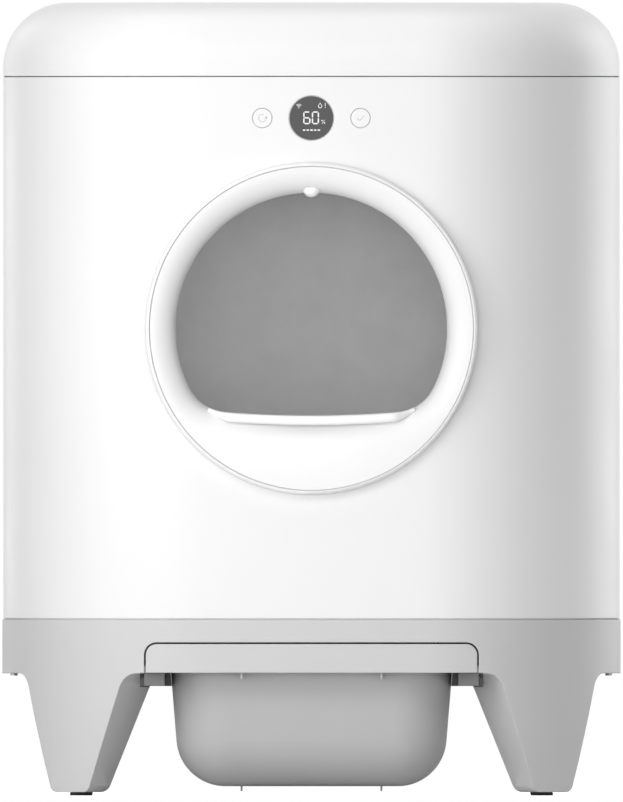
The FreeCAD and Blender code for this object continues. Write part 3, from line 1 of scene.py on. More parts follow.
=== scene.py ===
import bpy
import bmesh
import json
import math
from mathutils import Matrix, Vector


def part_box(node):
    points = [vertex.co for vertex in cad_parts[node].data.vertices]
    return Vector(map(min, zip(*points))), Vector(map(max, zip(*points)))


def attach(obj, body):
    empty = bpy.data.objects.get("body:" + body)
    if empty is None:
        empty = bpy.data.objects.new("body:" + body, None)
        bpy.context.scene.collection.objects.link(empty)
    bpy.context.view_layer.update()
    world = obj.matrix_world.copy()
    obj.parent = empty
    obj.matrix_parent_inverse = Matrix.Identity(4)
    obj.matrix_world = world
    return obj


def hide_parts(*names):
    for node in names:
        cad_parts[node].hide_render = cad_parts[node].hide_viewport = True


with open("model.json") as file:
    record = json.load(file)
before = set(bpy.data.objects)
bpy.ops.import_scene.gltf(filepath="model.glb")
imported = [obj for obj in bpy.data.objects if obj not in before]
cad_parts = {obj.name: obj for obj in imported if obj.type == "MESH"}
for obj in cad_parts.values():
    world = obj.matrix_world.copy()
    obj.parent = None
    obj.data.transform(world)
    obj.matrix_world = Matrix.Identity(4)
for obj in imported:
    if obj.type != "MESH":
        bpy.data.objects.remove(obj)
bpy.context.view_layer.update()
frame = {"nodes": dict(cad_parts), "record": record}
nodes = frame["nodes"]

# Lengths are in metres, powers in watts. Photograph's frame and the camera
FRAME_HEIGHT = 802
METRES_PER_PIXEL = 0.0008157
VIEW_CENTRE_Z = 0.3214
CAMERA_DISTANCE = 150.0
SENSOR_WIDTH = 36.0
CLIP_NEAR = 1.0

# Textures: the span a noise really covers, its roughness and detail, the relief's strength
NOISE_LOW, NOISE_HIGH, NOISE_ROUGHNESS = 0.3, 0.7, 0.55
SLOW_DETAIL, QUICK_DETAIL = 3.0, 2.0
RELIEF_STRENGTH = 0.35
POLISH_LOW, POLISH_HIGH = 0.92, 1.08
BEVEL_SAMPLES = 8


# Node helpers
def link(tree, source, output, target, socket):
    tree.links.new(source.outputs[output], target.inputs[socket])


def grain(tree, coords, scale, detail):
    noise = tree.nodes.new("ShaderNodeTexNoise")
    noise.inputs["Scale"].default_value = scale
    noise.inputs["Detail"].default_value = detail
    noise.inputs["Roughness"].default_value = NOISE_ROUGHNESS
    link(tree, coords, "Object", noise, "Vector")
    return noise


def spread(tree, source, output, low, high):
    span = tree.nodes.new("ShaderNodeMapRange")
    span.inputs["From Min"].default_value = NOISE_LOW
    span.inputs["From Max"].default_value = NOISE_HIGH
    span.inputs["To Min"].default_value = low
    span.inputs["To Max"].default_value = high
    link(tree, source, output, span, "Value")
    return span


def bump(tree, height, output, distance):
    node = tree.nodes.new("ShaderNodeBump")
    node.inputs["Strength"].default_value = RELIEF_STRENGTH
    node.inputs["Distance"].default_value = distance
    link(tree, height, output, node, "Height")
    return node


def colour_mix(tree, blend_type="MIX"):
    mix = tree.nodes.new("ShaderNodeMix")
    mix.data_type = "RGBA"
    mix.blend_type = blend_type
    return mix


def ramp(tree, source, start, end, interpolation="LINEAR"):
    """Socket that goes from 0 to 1 while the source goes from start to end."""
    span = tree.nodes.new("ShaderNodeMapRange")
    span.interpolation_type = interpolation
    span.inputs["From Min"].default_value = start
    span.inputs["From Max"].default_value = end
    tree.links.new(source, span.inputs["Value"])
    return span.outputs["Result"]


def reckon(tree, operation, first, second=None):
    node = tree.nodes.new("ShaderNodeMath")
    node.operation = operation
    tree.links.new(first, node.inputs[0])
    if second is not None:
        tree.links.new(second, node.inputs[1])
    return node.outputs[0]


def place_of(tree):
    """Separate X, Y and Z of a place on the object."""
    coords = next(n for n in tree.nodes if n.type == "TEX_COORD")
    split = tree.nodes.new("ShaderNodeSeparateXYZ")
    link(tree, coords, "Object", split, "Vector")
    return split.outputs


def moulded(name, colour, roughness, fine, depth, vary, metal=0.0, specular=0.4, cloud=9.0):
    """Moulded surface: fine texture, slow unevenness in colour and in polish."""
    material = bpy.data.materials.new(name)
    material.use_nodes = True
    tree = material.node_tree
    shader = tree.nodes["Principled BSDF"]
    coords = tree.nodes.new("ShaderNodeTexCoord")
    slow = grain(tree, coords, cloud, SLOW_DETAIL)
    quick = grain(tree, coords, fine, QUICK_DETAIL)
    mix = colour_mix(tree)
    mix.inputs["A"].default_value = (*[max(0.0, c * (1 - vary)) for c in colour], 1)
    mix.inputs["B"].default_value = (*[min(1.0, c * (1 + vary)) for c in colour], 1)
    blend = spread(tree, slow, "Fac", 0.0, 1.0)
    link(tree, blend, "Result", mix, "Factor")
    link(tree, mix, "Result", shader, "Base Color")
    polish = spread(tree, slow, "Fac", roughness * POLISH_LOW, roughness * POLISH_HIGH)
    link(tree, polish, "Result", shader, "Roughness")
    relief = bump(tree, quick, "Fac", depth)
    link(tree, relief, "Normal", shader, "Normal")
    shader.inputs["Metallic"].default_value = metal
    shader.inputs["Specular IOR Level"].default_value = specular
    return material


def clear_plastic(name, colour):
    material = moulded(name, colour, roughness=0.18, fine=900.0, depth=0.00001, vary=0.01)
    shader = material.node_tree.nodes["Principled BSDF"]
    shader.inputs["Transmission Weight"].default_value = 0.85
    shader.inputs["IOR"].default_value = 1.49
    return material


def soft_edges(material, radius):
    """Edges rounded in shading, under the fine texture."""
    tree = material.node_tree
    relief = next(n for n in tree.nodes if n.type == "BUMP")
    bevel = tree.nodes.new("ShaderNodeBevel")
    bevel.samples = BEVEL_SAMPLES
    bevel.inputs["Radius"].default_value = radius
    link(tree, bevel, "Normal", relief, "Normal")


def paint_shadow_below(material, top, reach, half, share):
    """Painted shadow: slightly darker crescent below a level, widest in the middle, where the lip above
    shades the ring.
    """
    start, full = top + 0.004, top + 0.002
    tree = material.node_tree
    shader = tree.nodes["Principled BSDF"]
    place = place_of(tree)
    low = ramp(tree, place["Z"], top - reach, top, "SMOOTHSTEP")
    high = ramp(tree, place["Z"], start, full, "SMOOTHSTEP")
    side = ramp(tree, reckon(tree, "ABSOLUTE", place["X"]), half, 0.0, "SMOOTHSTEP")
    painted_shade_mask = reckon(tree, "MULTIPLY", reckon(tree, "MULTIPLY", low, high), side)
    mix = colour_mix(tree)
    base = shader.inputs["Base Color"].links[0].from_socket
    shadow_tint = colour_mix(tree, "MULTIPLY")
    shadow_tint.inputs["Factor"].default_value = 1.0
    shadow_tint.inputs["B"].default_value = (share, share, share, 1)
    tree.links.new(base, shadow_tint.inputs["A"])
    tree.links.new(base, mix.inputs["A"])
    link(tree, shadow_tint, "Result", mix, "B")
    tree.links.new(painted_shade_mask, mix.inputs["Factor"])
    link(tree, mix, "Result", shader, "Base Color")


def paint_rail_shade(material, dark, half_in, half_out, low, high, edge):
    """Painted shade: darker colour between two heights and two distances from the middle, on both sides,
    where the rail ledges sit in shadow behind the drawer panel.
    """
    tree = material.node_tree
    shader = tree.nodes["Principled BSDF"]
    place = place_of(tree)
    away = reckon(tree, "ABSOLUTE", place["X"])
    painted_shade_mask, *rest = [
        ramp(tree, away, half_in - edge, half_in),
        ramp(tree, away, half_out + edge, half_out),
        ramp(tree, place["Z"], low - edge, low),
        ramp(tree, place["Z"], high + edge, high),
    ]
    for mask in rest:
        painted_shade_mask = reckon(tree, "MULTIPLY", painted_shade_mask, mask)
    mix = colour_mix(tree)
    mix.inputs["B"].default_value = (*dark, 1)
    tree.links.new(shader.inputs["Base Color"].links[0].from_socket, mix.inputs["A"])
    tree.links.new(painted_shade_mask, mix.inputs["Factor"])
    link(tree, mix, "Result", shader, "Base Color")


# Materials: roughness, scale of the fine texture, its depth, how much the colour varies
SHELL_COLOUR = (0.83, 0.83, 0.83)
WHITE = moulded("white_moulding", SHELL_COLOUR, 0.42, 2600.0, 0.00002, 0.006)
GREY_SHELL_AND_SHADE = moulded("light_grey_moulding_and_rail_shade", (0.60, 0.60, 0.60), 0.5, 2400.0, 0.00003, 0.01)
# Copy of the white moulding that carries the painted shadow under the entrance lip
WHITE_RING_SHADOWED = moulded("white_ring_painted_shadow", SHELL_COLOUR, 0.42, 2600.0, 0.00002, 0.006)
soft_edges(WHITE, 0.0012)
soft_edges(WHITE_RING_SHADOWED, 0.0012)
# Painted shadow: darker crescent on the ring's roll, under the entrance lip
paint_shadow_below(WHITE_RING_SHADOWED, top=0.3030, reach=0.0170, half=0.085, share=0.72)
soft_edges(GREY_SHELL_AND_SHADE, 0.0015)
# Painted shade: dark band on the rail ledges, which lie recessed in shadow behind the drawer panel
paint_rail_shade(
    GREY_SHELL_AND_SHADE, dark=(0.16, 0.16, 0.16), half_in=0.110, half_out=0.1396, low=0.0885, high=0.1000, edge=0.0003
)
BIN = moulded("bin_moulding", (0.48, 0.48, 0.485), 0.48, 2200.0, 0.00003, 0.02)
DRUM = moulded("drum_moulding", (0.88, 0.88, 0.88), 0.7, 1400.0, 0.00006, 0.03, cloud=40.0)
LENS = moulded("lens_acrylic", (0.062, 0.062, 0.064), 0.3, 1800.0, 0.000004, 0.02, specular=0.25)
RUBBER = moulded("black_rubber", (0.02, 0.02, 0.021), 0.8, 1500.0, 0.00008, 0.15)
GREY_RUBBER = moulded("grey_rubber", (0.13, 0.13, 0.135), 0.75, 1500.0, 0.00008, 0.08)
NYLON = moulded("natural_nylon", (0.66, 0.65, 0.60), 0.5, 1800.0, 0.00004, 0.03)
BOARD = moulded("circuit_board", (0.015, 0.09, 0.045), 0.4, 700.0, 0.00005, 0.25, cloud=120.0)
BLACK = moulded("black_moulding", (0.022, 0.022, 0.023), 0.45, 2000.0, 0.00004, 0.1)
STEEL = moulded("zinc_steel", (0.52, 0.52, 0.53), 0.32, 800.0, 0.00002, 0.08, metal=1.0, cloud=60.0)
ALUMINIUM = moulded("aluminium", (0.62, 0.63, 0.64), 0.38, 900.0, 0.00002, 0.06, metal=1.0, cloud=60.0)
CLEAR = clear_plastic("clear_plastic", (0.78, 0.86, 0.88))
INK_LIGHT = moulded("display_white", (0.86, 0.86, 0.86), 0.5, 1200.0, 0.000003, 0.01)
INK_GREY = moulded("icon_grey", (0.45, 0.45, 0.45), 0.5, 1200.0, 0.000003, 0.02)
# Near-black strip colour: painted shade for the shadowed gap beside the bin
RAIL_SHADE = moulded("rail_strip_painted_shade", (0.045, 0.045, 0.045), 0.55, 2000.0, 0.00004, 0.06)
RIM = moulded("display_rim", (0.50, 0.50, 0.51), 0.35, 1200.0, 0.000003, 0.02)

LOOKS = {
    "white_shell": WHITE,
    "light_grey_shell": GREY_SHELL_AND_SHADE,
    "bin_grey": BIN,
    "drum_grey": DRUM,
    "dark_lens": LENS,
    "black_rubber": RUBBER,
    "grey_rubber": GREY_RUBBER,
    "nylon": NYLON,
    "circuit_board": BOARD,
    "black_plastic": BLACK,
    "steel": STEEL,
    "aluminium": ALUMINIUM,
    "clear_plastic": CLEAR,
}

for part in frame["record"]["subparts"]:
    shape = nodes[part["node"]].data
    shape.materials.clear()
    shape.materials.append(LOOKS[part["material_slot"]])

# How far a vertex may lie from a face's surface and still belong to its skin
SKIN = 0.00005


# Mesh helpers
def add_piece(name, mesh, body, material):
    piece = bpy.data.objects.new(name, mesh)
    bpy.context.scene.collection.objects.link(piece)
    mesh.materials.append(material)
    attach(piece, body)
    return piece


def plate(outlines, y, thickness):
    """Flat shapes in the XZ plane, y at their front, as one closed mesh."""
    mesh = bpy.data.meshes.new("plate")
    work = bmesh.new()
    for outline in outlines:
        front = [work.verts.new((x, y, z)) for x, z in outline]
        back = [work.verts.new((x, y + thickness, z)) for x, z in outline]
        count = len(outline)
        work.faces.new(front)
        work.faces.new(list(reversed(back)))
        for i in range(count):
            j = (i + 1) % count
            work.faces.new((front[j], front[i], back[i], back[j]))
    bmesh.ops.recalc_face_normals(work, faces=work.faces)
    work.to_mesh(mesh)
    work.free()
    return mesh


def close_tube(work, loops):
    """Skin over loops of like length, with both ends closed."""
    count = len(loops[0])
    work.faces.new(loops[0])
    work.faces.new(loops[-1][::-1])
    for a, b in zip(loops, loops[1:]):
        for i in range(count):
            j = (i + 1) % count
            work.faces.new((a[j], a[i], b[i], b[j]))


def smooth_up_to(work, degrees):
    """Smooth faces, with an edge kept sharp where they meet at more than the angle."""
    for face in work.faces:
        face.smooth = True
    for edge in work.edges:
        edge.smooth = edge.calc_face_angle(0.0) < math.radians(degrees)


def bend_normals(mesh, normals, moved):
    """The moved vertices' normals, on the faces that have only such vertices."""
    for polygon in mesh.polygons:
        if all(v in moved for v in polygon.vertices):
            for corner, v in zip(polygon.loop_indices, polygon.vertices):
                normals[corner] = moved[v]
    mesh.normals_split_custom_set(normals)


def arc(cx, cz, radius, start, end, count):
    step = (end - start) / count
    turns = [math.radians(start + step * i) for i in range(count + 1)]
    return [(cx + radius * math.cos(turn), cz + radius * math.sin(turn)) for turn in turns]


def band(cx, cz, radius, width, start, end, count=24):
    """Curved strip between two radii."""
    outer = arc(cx, cz, radius + width / 2, start, end, count)
    inner = arc(cx, cz, radius - width / 2, start, end, count)
    return outer + inner[::-1]


def dot(cx, cz, radius):
    return arc(cx, cz, radius, 0, 330, 11)


def stroke(points, width):
    """Straight strips along a path, each with square ends."""
    out = []
    for (ax, az), (bx, bz) in zip(points, points[1:]):
        length = math.hypot(bx - ax, bz - az)
        nx, nz = -(bz - az) / length * width / 2, (bx - ax) / length * width / 2
        out.append([(ax + nx, az + nz), (ax - nx, az - nz), (bx - nx, bz - nz), (bx + nx, bz + nz)])
    return out


def bar(cx, cz, length, width, upright):
    """Segment of a seven-segment digit, with pointed ends."""
    h, w = length / 2, width / 2
    flat = [(-h, 0), (-h + w, -w), (h - w, -w), (h, 0), (h - w, w), (-h + w, w)]
    if upright:
        flat = [(-z, x) for x, z in flat]
    return [(cx + x, cz + z) for x, z in flat]


SEGMENTS = {"0": "abcdef", "6": "afgedc"}
DIGIT_WIDTH, DIGIT_HEIGHT, DIGIT_THICK = 0.0048, 0.0094, 0.0011


def digit(character, cx, cz):
    h, v = DIGIT_WIDTH / 2, DIGIT_HEIGHT / 2
    across, along = DIGIT_WIDTH - DIGIT_THICK * 0.5, DIGIT_HEIGHT / 2 - DIGIT_THICK * 0.35
    places = {
        "a": (0, v, False), "d": (0, -v, False), "g": (0, 0, False),
        "b": (h, v / 2, True), "f": (-h, v / 2, True), "c": (h, -v / 2, True), "e": (-h, -v / 2, True),
    }
    out = []
    for name in SEGMENTS[character]:
        x, z, upright = places[name]
        out.append(bar(cx + x, cz + z, along if upright else across, DIGIT_THICK, upright))
    return out


# Display's print
INK = 0.00006
lens_low, lens_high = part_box("display_lens")
lens_front = lens_low.y
display_x = (lens_low.x + lens_high.x) / 2
display_z = (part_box("menu_button")[0].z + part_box("menu_button")[1].z) / 2
LEVEL_COUNT, LEVEL_PITCH, LEVEL_HALF = 5, 0.0030, 0.0010
RIM_RADIUS, RIM_WIDTH, RIM_STEPS = 0.0181, 0.0005, 96


def display_print(name, shapes, ink=INK_LIGHT):
    add_piece(name, plate(shapes, lens_front - INK, INK), "housing", ink)


def number_shapes(x, z):
    shapes = digit("6", x - 0.0038, z + 0.0002)
    shapes += digit("0", x + 0.0032, z + 0.0002)
    percent_x, percent_z = x + 0.0096, z - 0.0030
    half_width, half_height, apart = 0.0011, 0.0015, 0.0010
    slash_low = (percent_x - half_width, percent_z - half_height)
    slash_high = (percent_x + half_width, percent_z + half_height)
    shapes += stroke([slash_low, slash_high], 0.0004)
    for side in (-1, 1):
        shapes.append(dot(percent_x + side * apart, percent_z - side * apart, 0.0006))
    return shapes


def signal_shapes(x, z):
    shapes = [band(x, z, radius, 0.0004, 45, 135) for radius in (0.0012, 0.0021, 0.0030)]
    shapes.append(dot(x, z, 0.0004))
    return shapes


def drop_shapes(x, z):
    """Outline of a drop, with an exclamation mark beside it."""
    drop = arc(x, z - 0.0003, 0.0017, -235, 55, 24)
    drop.append((x, z + 0.0027))
    hollow = [(x + (px - x) * 0.7, z + (pz - z) * 0.7) for px, pz in drop]
    count = len(drop)
    ring = [[drop[i], drop[(i + 1) % count], hollow[(i + 1) % count], hollow[i]] for i in range(count)]
    mark_x = x + 0.0042
    mark = stroke([(mark_x, z - 0.0002), (mark_x, z + 0.0024)], 0.0006)
    mark.append(dot(mark_x, z - 0.0013, 0.0004))
    return ring + mark


def level_shapes(x, z):
    shapes = []
    for i in range(LEVEL_COUNT):
        cx = x - 0.0060 + i * LEVEL_PITCH
        shapes += stroke([(cx - LEVEL_HALF, z), (cx + LEVEL_HALF, z)], 0.0011)
    return shapes


def build_display():
    x, z = display_x, display_z
    display_print("display_digits", number_shapes(x, z))
    display_print("display_signal_icon", signal_shapes(x - 0.0103, z + 0.0083))
    display_print("display_drop_icon", drop_shapes(x + 0.0070, z + 0.0100))
    display_print("display_level_bars", level_shapes(x, z - 0.0098))
    rim = band(x, z, RIM_RADIUS, RIM_WIDTH, 0, 360, RIM_STEPS)
    quads = [[rim[i], rim[i + 1], rim[-2 - i], rim[-1 - i]] for i in range(RIM_STEPS)]
    display_print("display_rim", quads, RIM)


ICON_RADIUS, ICON_LINE = 0.0031, 0.00045


def round_arrow(x, z):
    tip_x = x + ICON_RADIUS
    head = [(tip_x - 0.0013, z - 0.0001), (tip_x + 0.0013, z - 0.0001), (tip_x, z + 0.0016)]
    return [band(x, z, ICON_RADIUS, ICON_LINE, 70, 360), head]


def tick(x, z):
    return stroke([(x - 0.0029, z), (x - 0.0008, z - 0.0021), (x + 0.0031, z + 0.0023)], ICON_LINE)


def build_button_icons():
    buttons = (("menu_button", "left_button", round_arrow), ("ok_button", "right_button", tick))
    for node, body, icon in buttons:
        low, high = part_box(node)
        shapes = icon((low.x + high.x) / 2, display_z)
        add_piece(node + "_icon", plate(shapes, low.y - INK, INK), body, INK_GREY)


# Lip along the entrance's floor: a shallow sag, then a corner's circle on each side
ENTRANCE_Z, LIP_DROP, LIP_SAG, LIP_CORNER = 0.3804, 0.0710, 0.870, 0.037
LIP_CORNER_X, LIP_CORNER_Z, LIP_JOIN = 0.06648, 0.34906, 0.06943
LIP_HEIGHT, LIP_FRONT, LIP_BACK, LIP_ROUND = 0.0078, -0.2657, -0.2500, 0.0024
LIP_FULL, LIP_FADE, LIP_STEPS = 0.066, 0.018, 120
LIP_THIN, LIP_THIN_DEPTH, LIP_SUNK = 0.45, 0.007, 0.0002
ROUND_TURNS = (0, 0.4, 0.8, 1.2, 1.57)


def lip_station(s):
    """Point on the entrance's lower edge at length s from the middle, and the way out of the opening."""
    side = -1 if s < 0 else 1
    run = abs(s)
    if run <= LIP_JOIN:
        turn = math.asin(run / LIP_SAG)
        place = (side * run, ENTRANCE_Z - LIP_DROP + LIP_SAG * (1 - math.cos(turn)))
        return place, (side * math.sin(turn), -math.cos(turn))
    turn = math.asin(LIP_JOIN / LIP_SAG) + (run - LIP_JOIN) / LIP_CORNER
    out = (side * math.sin(turn), -math.cos(turn))
    return (side * LIP_CORNER_X + LIP_CORNER * out[0], LIP_CORNER_Z + LIP_CORNER * out[1]), out


def lip_section(share):
    """Rounded section as points (out, y), full at a share of 1 and thin at 0."""
    height = LIP_HEIGHT * (LIP_THIN + (1 - LIP_THIN) * share)
    front = LIP_BACK - LIP_THIN_DEPTH + (LIP_FRONT - LIP_BACK + LIP_THIN_DEPTH) * share
    curve = min(LIP_ROUND, height * 0.45)
    section = [(-LIP_SUNK, LIP_BACK)]
    section += [(curve - curve * math.cos(a), front + curve - curve * math.sin(a)) for a in ROUND_TURNS]
    section += [
        (height - curve + curve * math.sin(a), front + curve - curve * math.cos(a)) for a in ROUND_TURNS
    ]
    section.append((height, LIP_BACK))
    return section


def entrance_lip():
    """Rounded lip that fades into the ring at both ends."""
    mesh = bpy.data.meshes.new("entrance_lip")
    work = bmesh.new()
    loops = []
    reach = LIP_FULL + LIP_FADE
    for i in range(LIP_STEPS + 1):
        s = reach * (2 * i / LIP_STEPS - 1)
        share = max(0.0, min(1.0, (reach - abs(s)) / LIP_FADE))
        share = share * share * (3 - 2 * share)
        (x, z), (nx, nz) = lip_station(s)
        loops.append([work.verts.new((x + nx * n, y, z + nz * n)) for n, y in lip_section(share)])
    close_tube(work, loops)
    bmesh.ops.recalc_face_normals(work, faces=work.faces)
    smooth_up_to(work, 40)
    work.to_mesh(mesh)
    work.free()
    add_piece("entrance_lip", mesh, "housing", WHITE)


# Ring's rolled edge round the entrance, which the lip sits on
RING_FRONT, RING_ROLL, LIP_HALF = -0.2653, 0.0213, 0.0846
ROLL_LOW = ENTRANCE_Z - LIP_DROP - 0.0086
ROLL_HIGH = ENTRANCE_Z - LIP_DROP + 0.0030


def from_opening(x, z):
    """How far a point lies outside the opening's lower edge, and the way out."""
    if abs(x) <= LIP_JOIN:
        place, out = lip_station(x)
        return place[1] - z, out
    dx, dz = abs(x) - LIP_CORNER_X, z - LIP_CORNER_Z
    far = math.hypot(dx, dz)
    return far - LIP_CORNER, (math.copysign(dx, x) / far, dz / far)


def entrance_face():
    """Entrance ring whose rolled edge runs on under the lip."""
    mesh = nodes["entrance_ring"].data.copy()
    mesh.materials.clear()
    normals = [Vector(n.vector) for n in mesh.corner_normals]
    moved = {}
    for vertex in mesh.vertices:
        x, y, z = vertex.co
        if abs(x) > LIP_HALF or not ROLL_LOW < z < ROLL_HIGH:
            continue
        away, out = from_opening(x, z)
        if not 0 < away < RING_ROLL:
            continue
        rise = math.sqrt(RING_ROLL ** 2 - (RING_ROLL - away) ** 2)
        surface = RING_FRONT + RING_ROLL - rise
        if y < surface + SKIN:
            vertex.co.y = surface
            tilt = (RING_ROLL - away) / RING_ROLL
            moved[vertex.index] = Vector((-out[0] * tilt, -rise / RING_ROLL, -out[1] * tilt)).normalized()
    bend_normals(mesh, normals, moved)
    piece = add_piece("entrance_face", mesh, "housing", WHITE_RING_SHADOWED)
    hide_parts("entrance_ring")


# Front cover: plan of its rounded corners, and the screw posts behind it
COVER_CORNER_X, COVER_CORNER_Y, COVER_CORNER = 0.092, -0.098, 0.1592
POST_RADIUS, POST_X, POST_RISE = 0.0041, 0.12020, 0.0694
SCREW_HOLE, HOLE_COVER = 0.0017, 0.0008


def cover_skin(x):
    """The corner's outer face at x: its y and its normal."""
    dx = abs(x) - COVER_CORNER_X
    depth = math.sqrt(COVER_CORNER ** 2 - dx ** 2)
    return COVER_CORNER_Y - depth, Vector((math.copysign(dx, x), -depth, 0)).normalized()


def front_cover():
    """Front shell whose outer face runs smoothly over the posts behind it."""
    mesh = nodes["front_shell"].data.copy()
    mesh.materials.clear()
    normals = [Vector(n.vector) for n in mesh.corner_normals]
    moved = {}
    for vertex in mesh.vertices:
        from_post = math.hypot(abs(vertex.co.x) - POST_X, abs(vertex.co.z - ENTRANCE_Z) - POST_RISE)
        if from_post >= POST_RADIUS:
            continue
        y, normal = cover_skin(vertex.co.x)
        if from_post < SCREW_HOLE:
            vertex.co.y = max(vertex.co.y, y + HOLE_COVER)
        elif vertex.co.y < y + SKIN:
            vertex.co.y = y
            moved[vertex.index] = normal
    bend_normals(mesh, normals, moved)
    piece = add_piece("front_cover", mesh, "housing", WHITE)
    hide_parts("front_shell")


# Legs' feet: where the arches' edges meet the floor side of the base
BASE_HALF_WIDTH, BASE_FRONT, BASE_MIDDLE, BASE_BOTTOM = 0.252, -0.258, 0.004, 0.0028
ARCH_TOP, ARCH_LEAN = 0.0995, 0.40
FRONT_ARCH = {"half": 0.160, "flare": 0.59, "depth": 0.055}
SIDE_ARCH = {"half": 0.1874, "flare": 0.43, "depth": 0.100}
FOOT_ROUND, FOOT_STEPS = 0.0080, 10
CUT_MARGIN, CUT_OUT, CUT_IN = 0.0012, 0.004, 0.060


def foot_section(u):
    """Sliver to take off a foot's edge, as points (u, z), u growing into the foot."""
    slope = math.hypot(1, ARCH_LEAN)
    up = (-ARCH_LEAN / slope, 1 / slope)
    half = math.acos(up[0]) / 2
    reach = FOOT_ROUND / math.tan(half)
    start = (u + reach, BASE_BOTTOM)
    end = (u + reach * up[0], BASE_BOTTOM + reach * up[1])
    centre = (start[0], BASE_BOTTOM + FOOT_ROUND)
    last = math.degrees(math.atan2(end[1] - centre[1], end[0] - centre[0])) - 360.0
    if last < -270.0:
        last += 360.0
    out = arc(centre[0], centre[1], FOOT_ROUND, -90.0, last, FOOT_STEPS)
    out.append((end[0] - CUT_MARGIN, end[1] - CUT_MARGIN * ARCH_LEAN))
    out.append((u - 2 * CUT_MARGIN, BASE_BOTTOM - CUT_MARGIN))
    out.append((start[0], BASE_BOTTOM - CUT_MARGIN))
    return out


def foot_cutter(arch, edge, sign_u, sign_v, along_y):
    """Cutter along one arch's lower edge; edge is how far the outer face lies from the middle."""
    mesh = bpy.data.meshes.new("foot_cutter")
    work = bmesh.new()
    bottom = arch["half"] + ARCH_LEAN * (ARCH_TOP - BASE_BOTTOM)
    inner = bottom - arch["flare"] * arch["depth"]
    outer = bottom + arch["flare"] * CUT_OUT
    loops = []
    for v, u in ((edge + CUT_OUT, outer), (edge - arch["depth"], inner), (CUT_IN, inner)):
        loop = []
        for pu, pz in foot_section(u):
            x, y = (sign_u * pu, sign_v * v) if along_y else (sign_v * v, sign_u * pu)
            loop.append(work.verts.new((x, y + BASE_MIDDLE, pz)))
        loops.append(loop)
    close_tube(work, loops)
    bmesh.ops.recalc_face_normals(work, faces=work.faces)
    work.to_mesh(mesh)
    work.free()
    cutter = bpy.data.objects.new("foot_cutter", mesh)
    bpy.context.scene.collection.objects.link(cutter)
    return cutter


def cut_away(piece, cutter):
    cut = piece.modifiers.new("cut", "BOOLEAN")
    cut.operation = "DIFFERENCE"
    cut.solver = "EXACT"
    cut.object = cutter
    bpy.context.view_layer.update()
    graph = bpy.context.evaluated_depsgraph_get()
    done = bpy.data.meshes.new_from_object(piece.evaluated_get(graph), depsgraph=graph)
    piece.modifiers.clear()
    piece.data = done
    bpy.data.objects.remove(cutter)


def build_base():
    """Base with its feet's edges rounded off."""
    mesh = nodes["base_frame"].data.copy()
    mesh.materials.clear()
    work = bmesh.new()
    work.from_mesh(mesh)
    bmesh.ops.remove_doubles(work, verts=work.verts, dist=1e-6)
    bmesh.ops.recalc_face_normals(work, faces=work.faces)
    work.to_mesh(mesh)
    work.free()
    piece = add_piece("base_shell", mesh, "housing", GREY_SHELL_AND_SHADE)
    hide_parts("base_frame")
    reach = BASE_MIDDLE - BASE_FRONT
    for arch, edge, along_y in ((FRONT_ARCH, reach, True), (SIDE_ARCH, BASE_HALF_WIDTH, False)):
        for sign_u in (-1, 1):
            for sign_v in (-1, 1):
                cut_away(piece, foot_cutter(arch, edge, sign_u, sign_v, along_y))
    work = bmesh.new()
    work.from_mesh(piece.data)
    smooth_up_to(work, 30)
    work.to_mesh(piece.data)
    work.free()


# Strips along the rails' inner edges, which close the gap beside the bin; their near-black colour is painted
# shade
GUARD_X_LOW, GUARD_X_HIGH, GUARD_X_OUT = 0.11395, 0.11525, 0.1193
GUARD_LOW, GUARD_HIGH, GUARD_ROUND = 0.0892, 0.1052, 0.0010
GUARD_FRONT, GUARD_BACK = -0.2246, 0.0520


def rail_shade_strips():
    """Strip along the inner edge of each rail, leaning with the bin's side; it closes the gap, and its
    near-black colour is painted shade.
    """
    outline = [(GUARD_X_LOW, GUARD_LOW), (GUARD_X_OUT, GUARD_LOW), (GUARD_X_OUT, GUARD_HIGH)]
    outline += arc(GUARD_X_HIGH + GUARD_ROUND, GUARD_HIGH - GUARD_ROUND, GUARD_ROUND, 90, 180, 8)
    for name, sign in (("rail_shade_strip_left", -1), ("rail_shade_strip_right", 1)):
        mesh = plate([[(sign * x, z) for x, z in outline]], GUARD_FRONT, GUARD_BACK - GUARD_FRONT)
        add_piece(name, mesh, "housing", RAIL_SHADE)


build_display()
build_button_icons()
rail_shade_strips()
build_base()
entrance_face()
entrance_lip()
front_cover()

# Floor, light and camera
FLOOR_HALF, FLOOR_COLOUR, FLOOR_GLOW = 2.0, (0.8, 0.8, 0.8, 1), 0.9
WORLD_FILL, WORLD_WHITE = 0.02, 1.0
LIT_POINT = (0, 0, 0.33)
# Each lamp's place, its two sides and its power
LAMPS = {
    "left_back": ((-1.257, 1.499, 0.803), (0.6, 1.6), 6.2),
    "left_near": ((-0.499, -1.071, 0.538), (0.4, 1.0), 2.7),
    "left_key": ((-1.648, -1.383, 0.803), (1.0, 1.6), 11.4),
    "low_front": ((0.000, -2.391, 0.219), (1.6, 0.4), 7.5),
    "high_front": ((0.000, -2.130, 1.821), (1.6, 1.0), 13.4),
    "overhead": ((0.000, -0.192, 2.522), (2.0, 1.6), 22.0),
    "front": ((0.000, -2.971, 0.748), (1.4, 1.2), 8.1),
    "right_side": ((1.785, 0.832, 0.808), (0.6, 1.6), 12.2),
    "right_back": ((1.383, 1.383, 0.803), (0.6, 1.6), 8.0),
}
CABIN_LAMP_PLACE, CABIN_LAMP_TARGET = (0, -2.4, 0.47), (0, -0.266, 0.385)
CABIN_LAMP_POWER, CABIN_LAMP_ANGLE, CABIN_LAMP_BLEND, CABIN_LAMP_SIZE = 30.0, 6.0, 0.25, 0.05


